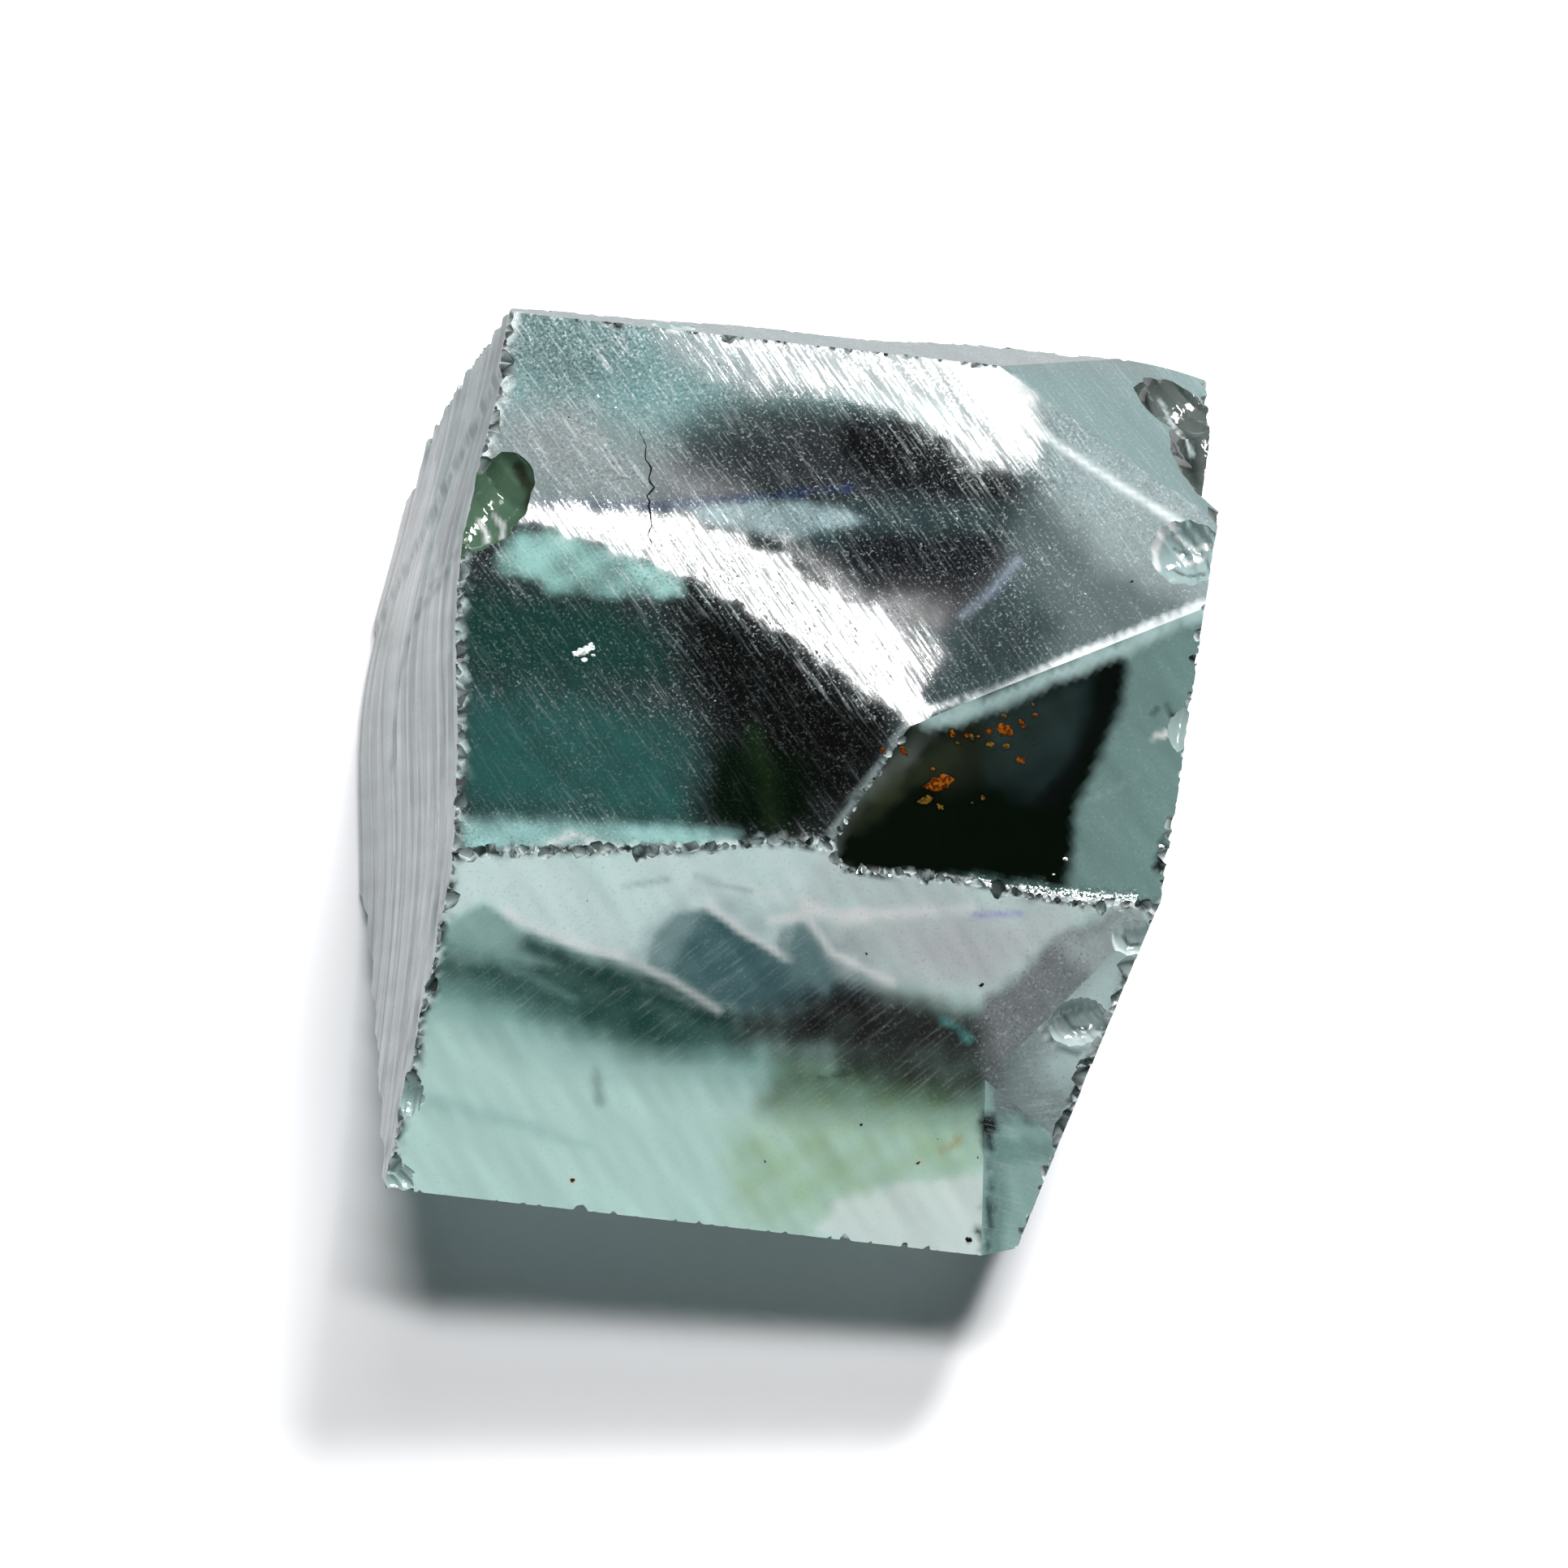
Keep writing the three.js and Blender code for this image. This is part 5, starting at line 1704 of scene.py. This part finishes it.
@dataclass(frozen=True)
class Crack:
    """A thin jagged dark line in a facet.

    Attributes:
        line: Its turns as seen from above, in the frame's millimetres.
        width: Its width in its middle.
        step: Distance between its small turns.
        jagged: How far it strays from its line.
        proud, depth: How far it stands out of the stone and goes into it.
        ends, widths: Its least width at the ends and the factors that its width varies by.
    """

    name: str
    facet: str
    substance: Substance
    line: tuple[Pair, ...]
    width: float = 0.06
    step: float = 0.15
    jagged: float = 0.05
    depth: float = 0.05
    proud: float = 0.008
    ends: float = 0.25
    widths: Pair = (0.5, 1.2)
    seed: int = 5

    def build(self, shape: StoneShape) -> Item:
        """Builds the crack as one thin closed strip.

        Args:
            shape: Where the stone's facets are.

        Returns:
            The object, in the frame.
        """
        facet = shape.facet(self.facet)
        random = np.random.default_rng(self.seed)
        line = np.array(self.line)
        reach = np.concatenate([[0.0], np.cumsum(np.linalg.norm(np.diff(line, axis=0), axis=1))])
        at = np.linspace(0, reach[-1], max(3, int(reach[-1] / self.step)))
        middle = np.stack([np.interp(at, reach, line[:, a]) for a in range(2)], 1)
        along = np.gradient(middle, axis=0)
        across = np.stack([-along[:, 1], along[:, 0]], 1) / np.linalg.norm(along, axis=1)[:, None]
        middle += across * random.normal(0, self.jagged, len(at))[:, None]
        taper = self.ends + np.sin(pi * at / reach[-1])
        half = 0.5 * self.width * taper * random.uniform(*self.widths, len(at))
        mesh = bmesh.new()
        rows = []
        for side, lift in ((-1, self.proud), (1, self.proud), (1, -self.depth), (-1, -self.depth)):
            flat = middle + side * half[:, None] * across
            rows.append([mesh.verts.new(tuple(p * MM)) for p in surface(facet, flat, np.full(len(at), lift))])
        for i in range(len(at) - 1):
            for k in range(4):
                mesh.faces.new((rows[k][i], rows[k][i + 1], rows[(k + 1) % 4][i + 1], rows[(k + 1) % 4][i]))
        for i in (0, -1):
            mesh.faces.new([row[i] for row in rows])
        bmesh.ops.recalc_face_normals(mesh, faces=mesh.faces[:])
        item = object_from(mesh, self.name)
        item.data.materials.append(self.substance.make())
        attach(item, BODY)
        return item


def surface(facet: Facet, flat: Array, lift: Array) -> Array:
    """Points over a facet's real surface.

    Args:
        facet: The facet.
        flat: Where they are as seen from above, in the frame's millimetres.
        lift: How far they stand off the surface.

    Returns:
        The points, in the frame's millimetres.
    """
    normal = facet.normal
    spots = np.column_stack([flat, np.zeros(len(flat))]) - SEAT
    for _ in range(3):
        spots[:, 2] -= facet.above(spots) / normal[2]
    return spots + SEAT + lift[:, None] * normal


PIECES: tuple[Flakes | Crack, ...] = (
    Flakes("rust_flakes", "glassy_hollow", Substance.RUST, ((6.07, -1.3, 0.42), (4.8, -0.6, 0.2),
           (6.2, 0.35, 0.16), (6.65, 0.4, 0.12), (7.8, 0.85, 0.3), (8.3, 1.15, 0.17), (7.3, 0.7, 0.16),
           (8.4, 0.0, 0.18), (8.65, 1.5, 0.13), (5.75, -0.9, 0.11), (7.0, 0.45, 0.1), (8.7, 0.6, 0.08)),
           height=0.2),
    Flakes("ochre_flakes", "glassy_hollow", Substance.OCHRE, ((5.7, -1.95, 0.28), (6.15, -2.1, 0.2),
           (7.4, -1.5, 0.16), (7.7, 1.25, 0.14), (6.4, 0.1, 0.12), (8.55, 1.8, 0.12), (6.8, 0.4, 0.16),
           (7.4, 0.3, 0.2), (7.9, 0.35, 0.18), (7.1, -1.75, 0.1)), height=0.12),
    Flakes("rust_grains_on_top", "satin_top", Substance.RUST, ((-0.3, 2.85, 0.07), (-2.4, 4.05, 0.06),
           (4.15, -0.75, 0.12)), height=0.3),
    Flakes("rust_grains_on_front", "front_slope", Substance.RUST, ((6.9, -12.35, 0.09), (7.4, -11.6, 0.05),
           (8.7, -11.9, 0.06), (-3.6, -14.6, 0.1)), height=0.3),
    Flakes("black_specks_on_top", "satin_top", Substance.CARBON, ((11.1, 6.3, 0.07), (0.7, 3.6, 0.06),
           (-0.7, 1.4, 0.05), (-7.1, 8.7, 0.05), (9.2, 8.2, 0.05), (-8.1, 1.6, 0.05), (3.4, -2.2, 0.05)),
           height=0.5),
    Flakes("black_specks_in_front", "front_slope", Substance.CARBON, ((8.15, -7.15, 0.09),
           (4.5, -6.9, 0.06), (-4.2, -6.9, 0.04), (5.0, -11.6, 0.06), (8.75, -14.2, 0.12),
           (2.2, -13.1, 0.05)), height=0.5),
    Flakes("crushed_spot", "satin_top", Substance.CRUSHED, ((-5.45, 0.95, 0.26), (-5.7, 0.8, 0.14),
           (-5.25, 1.15, 0.15), (-5.4, 0.65, 0.11), (-5.15, 0.85, 0.09)), height=0.45),
    Flakes("white_grains", "satin_top", Substance.CRUSHED, ((-1.2, 0.0, 0.05), (-4.9, 8.3, 0.05),
           (-6.3, 9.6, 0.08), (-5.7, 9.3, 0.05), (0.7, 7.2, 0.05), (2.4, 6.9, 0.05), (5.4, 7.4, 0.06),
           (4.4, 6.3, 0.05), (6.2, 5.6, 0.05), (8.4, 6.9, 0.06), (9.7, 5.6, 0.05), (10.0, 6.9, 0.05)),
           height=0.4),
    # Painted glints: white lumps along the glassy hollow's lower edge.
    Flakes("glints", "glassy_hollow", Substance.CRUSHED, ((7.35, -4.42, 0.09), (7.95, -4.38, 0.13),
           (8.55, -4.33, 0.08), (9.0, -4.25, 0.12), (9.7, -4.3, 0.07), (10.2, -4.25, 0.12),
           (10.7, -4.15, 0.08), (10.2, -3.0, 0.09), (9.9, -3.6, 0.06), (13.1, -2.1, 0.1)), height=0.5),
    Crack("top_crack", "satin_top", Substance.CARBON, ((-4.8, 8.7), (-4.45, 7.6), (-4.17, 6.8), (-4.2, 6.4),
          (-4.0, 5.6), (-4.05, 5.2), (-3.9, 4.7))),
)


# The frosted wing: its look, where it starts and is full, and how far it calms the scratches.
WING = Mark((), (0.15, 0.24, 0.25), lean=(-0.26, 0.0), specked=0.4, streaked=0.2, roughness=0.3)
WING_EDGE = (-0.12, 0.10)
WING_CALM = 0.6
# The streaks in the whole skin: bearing, length and width, and each value's least and added share.
BRUSHINGS = ((SCRATCHED, 3.0, 0.45), (SCRATCHED + 14, 5.0, 1.1))
BRUSH_SHIFT = 5.0
BRUSHED_STREAKS = (0.4, 1.4)
BRUSHED_SPECKS = (0.5, 1.0)
BRUSHED_TINT = (0.88, 0.24)
# The least and the added depth of scratches and grain, by how streaked and how specked the skin is.
SATIN_DEPTH = (0.2, 2.2)
FROST_DEPTH = (0.15, 1.6)
# A bruised edge: its dark and pale colours, the size of both patterns, and where they change over.
BRUISE_COLOURS = ((0.01, 0.014, 0.014), (0.7, 0.85, 0.83))
BRUISE_ROUGHNESS = 0.3
BRUISE_EDGE = (1.5, 0.6)
BRUISE_STRAY = 0.5
BRUISE_SIZE = 0.35
BRUISE_SHIFT = 7.0
BRUISE_LIMITS = (0.35, 0.75)
# A fresh break: its dark and pale colours, how wide its patches are, and how matt it is. The pale patches are
# painted glints and the dark ones painted shade.
BREAK_GLINT_AND_SHADE_COLOURS = ((0.012, 0.018, 0.018), (0.85, 0.95, 0.94))
BREAK_SIZE = 0.22
BREAK_CONTRAST = 1.5
BREAK_ROUGHNESS = 0.08


class Paint:
    """The look of the corners of the stone's faces, while it is painted.

    Attributes:
        tint: The corners' colours.
        slope: Which way light meets them, as slopes off their planes.
        look: Their other values by name.
    """

    def __init__(self, spots: Array, owners: Array, facets: list[Facet]) -> None:
        """Starts every corner with its facet's finish.

        Args:
            spots: Where the corners are, in the frame's millimetres.
            owners: The number of each corner's facet.
            facets: The facets.
        """
        finishes = [FINISHES[f.name] for f in facets]
        self.spots = spots
        self.owners = owners
        self.facets = facets
        self.tint = np.array([f.tint for f in finishes])[owners]
        self.slope = np.array([[*f.lean, 0.0] for f in finishes])[owners]
        names = ("roughness", "satin", "frost", "striated", "specked", "streaked", "bearing", "calm")
        self.look = {name: np.array([getattr(f, name) for f in finishes], float)[owners] for name in names}
        self.look["bearing"] = np.radians(-self.look["bearing"])

    def lay(self, here: Array, cover: Array, mark: Mark) -> None:
        """Lays a mark's colour, lean and values over some corners.

        Args:
            here: The corners' numbers.
            cover: How fully it covers each of them.
            mark: What is laid on.
        """
        if mark.tint is not None:
            self.tint[here] += cover[:, None] * (np.array(mark.tint) - self.tint[here])
        if mark.lean is not None:
            self.slope[here] += cover[:, None] * (np.array([*mark.lean, 0.0]) - self.slope[here])
        for name in ("specked", "streaked", "roughness", "satin"):
            value = getattr(mark, name)
            if value is not None:
                self.look[name][here] += cover * (value - self.look[name][here])

    def frost_wing(self) -> None:
        """Frosts the satin break's lower wing."""
        share = smoothstep(wing_plane.above_plane(self.spots - SEAT), *WING_EDGE) * (self.owners == 0)
        self.lay(np.arange(len(share)), share, WING)
        self.look["satin"] *= 1 - WING_CALM * share
        self.look["calm"] *= 1 - share

    def lay_marks(self) -> None:
        """Lays each facet's own marks on it, in order."""
        for number, facet in enumerate(self.facets):
            here = np.flatnonzero(self.owners == number)
            for mark in MARKS.get(facet.name, ()):
                self.lay(here, mark.cover(self.spots[here]), mark)

    def brush(self) -> None:
        """Varies the whole skin in streaks."""
        first, second = (brushed(self.spots + k * BRUSH_SHIFT, *run) for k, run in enumerate(BRUSHINGS))
        uneven = 0.5 * first + 0.5 * second
        self.look["streaked"] *= BRUSHED_STREAKS[0] + BRUSHED_STREAKS[1] * uneven
        self.look["specked"] *= BRUSHED_SPECKS[0] + BRUSHED_SPECKS[1] * uneven
        self.tint *= (BRUSHED_TINT[0] + BRUSHED_TINT[1] * uneven)[:, None]

    def bruise(self, rows: tuple[CrushedEdge, ...], edges: Edges) -> None:
        """Draws the dark and pale bruise along each crushed edge.

        Args:
            rows: The crushed edges.
            edges: The points of each edge, before it is seated.
        """
        dark, pale = (np.array(colour) for colour in BRUISE_COLOURS)
        for row in rows:
            line = edges[frozenset(row.between)] + SEAT
            within = (self.spots > line.min(0) - 1) & (self.spots < line.max(0) + 1)
            near = np.flatnonzero(np.all(within, axis=1))
            if not row.bruise or not len(near):
                continue
            spots = self.spots[near]
            away = np.full(len(near), np.inf)
            for point in line:
                away = np.minimum(away, np.linalg.norm(spots - point, axis=1))
            away += BRUISE_STRAY * row.bruise * patchy(spots, BRUISE_STRAY)
            share = smoothstep(away, *(row.bruise * limit for limit in BRUISE_EDGE))
            shade = smoothstep(patchy(spots + BRUISE_SHIFT, BRUISE_SIZE), *BRUISE_LIMITS)[:, None]
            shade = (1 - shade) * dark + shade * pale
            self.tint[near] += share[:, None] * (shade - self.tint[near])
            self.look["roughness"][near] += share * (BRUISE_ROUGHNESS - self.look["roughness"][near])

    def break_open(self, broken: Array) -> None:
        """Gives the chips and the crushed edges their glassy breaks, patched with painted glints and painted
        shade.

        Args:
            broken: Which corners lie on a break.
        """
        here = np.flatnonzero(broken)
        spots = self.spots[here]
        dark, pale = (np.array(colour) for colour in BREAK_GLINT_AND_SHADE_COLOURS)
        share = patchy(spots, BREAK_SIZE)[:, None] ** BREAK_CONTRAST
        self.tint[here] = (1 - share) * dark + share * pale
        for name in ("satin", "frost", "striated", "specked", "streaked", "calm"):
            self.look[name][here] = 0.0
        self.look["roughness"][here] = BREAK_ROUGHNESS
        for chip in CHIPS:
            self.tint[here[chip.near(spots - SEAT)]] = chip.tint
        for mark in MARKS["breaks"]:
            self.lay(here, mark.cover(spots), mark)

    def store(self, data: bpy.types.Mesh, normals: Array) -> None:
        """Writes the look to the mesh.

        Args:
            data: The stone's mesh.
            normals: Which way each corner faces.
        """
        planes = np.array([f.normal for f in self.facets])[self.owners]
        lean = self.slope + self.look.pop("calm")[:, None] * (planes - normals)
        self.look["satin"] *= np.clip(SATIN_DEPTH[0] + SATIN_DEPTH[1] * self.look["streaked"], 0, 1)
        self.look["frost"] *= np.clip(FROST_DEPTH[0] + FROST_DEPTH[1] * self.look["specked"], 0, 1)
        tint = np.hstack([self.tint, np.ones((len(self.tint), 1))])
        written = [(name, "FLOAT", "value", value) for name, value in self.look.items()]
        written += [("tint", "FLOAT_COLOR", "color", tint), ("lean", "FLOAT_VECTOR", "vector", lean)]
        for name, kind, part, value in written:
            data.attributes.new(name, kind, "CORNER").data.foreach_set(part, value.astype(np.float32).ravel())


@dataclass
class Stone:
    """The stone itself, as one fine closed mesh in one glass."""

    shape: StoneShape = field(default_factory=StoneShape)
    glass: Glass = field(default_factory=Glass)
    breakage: Breakage = field(default_factory=Breakage)
    on_facet: float = 0.025
    sharp_angle: float = 28.0
    edges: Edges = field(default_factory=dict)

    def build(self) -> Item:
        """Builds the mesh, marks its finish and hands it to the frame."""
        points, triangles, edges = self.shape.build()
        data = bpy.data.meshes.new("whole")
        data.from_pydata([tuple(p) for p in points], [], triangles)
        mesh = bmesh.new()
        mesh.from_mesh(data)
        bmesh.ops.recalc_face_normals(mesh, faces=mesh.faces[:])
        item = object_from(mesh, "aquamarine_stone")
        log.info("stone before its chips: %d triangles", len(item.data.polygons))
        self.edges = edges
        self.breakage.knock(item, self.shape, edges)
        mesh = bmesh.new()
        mesh.from_mesh(item.data)
        bmesh.ops.remove_doubles(mesh, verts=mesh.verts[:], dist=1e-4)
        bmesh.ops.triangulate(mesh, faces=mesh.faces[:])
        for vert in mesh.verts:
            vert.co = (vert.co + Vector(SEAT)) * MM
        data = bpy.data.meshes.new("aquamarine_stone")
        mesh.to_mesh(data)
        mesh.free()
        item.data = data
        self.mark(data)
        data.materials.append(self.glass.make())
        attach(item, BODY)
        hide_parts(NODE)
        return item

    def mark(self, data: bpy.types.Mesh) -> None:
        """Writes the look of each face's corners, and which edges are sharp."""
        facets = self.shape.all_facets()
        co = np.zeros(len(data.vertices) * 3)
        data.vertices.foreach_get("co", co)
        co = co.reshape(-1, 3) / MM
        tri = np.array([list(p.vertices) for p in data.polygons])
        distance = np.stack([np.abs(f.above(co - SEAT)) for f in facets], 1)[tri].max(1)
        owner = distance.argmin(1)
        chipped = distance.min(1) > self.on_facet
        self.sharpen(data, np.where(chipped, -1, owner))
        normals = np.zeros(len(tri) * 9)
        data.corner_normals.foreach_get("vector", normals)
        paint = Paint(co[tri.ravel()], np.repeat(owner, 3), facets)
        paint.frost_wing()
        paint.lay_marks()
        paint.brush()
        paint.bruise(self.breakage.crushed, self.edges)
        paint.break_open(np.repeat(chipped, 3))
        paint.store(data, normals.reshape(-1, 3))

    def sharpen(self, data: bpy.types.Mesh, groups: Array) -> None:
        """Makes edges sharp between different groups of faces and where the mesh bends strongly.

        Args:
            data: The stone's mesh.
            groups: The group of each face.
        """
        mesh = bmesh.new()
        mesh.from_mesh(data)
        mesh.faces.ensure_lookup_table()
        for edge in mesh.edges:
            sides = {int(groups[f.index]) for f in edge.link_faces}
            edge.smooth = len(sides) == 1 and edge.calc_face_angle(0.0) < radians(self.sharp_angle)
        for face in mesh.faces:
            face.smooth = True
        mesh.to_mesh(data)
        mesh.free()


def main() -> None:
    """Builds the stone and the studio, in order."""
    logging.basicConfig(level=logging.INFO, format="%(name)s: %(message)s")
    stone = Stone().build()
    log.info("stone: %d triangles", len(stone.data.polygons))
    shape = StoneShape()
    for piece in PIECES:
        item = piece.build(shape)
        log.info("%s: %d faces", item.name, len(item.data.polygons))
    Studio().build()
    Camera().place()


if __name__ == "__main__":
    main()
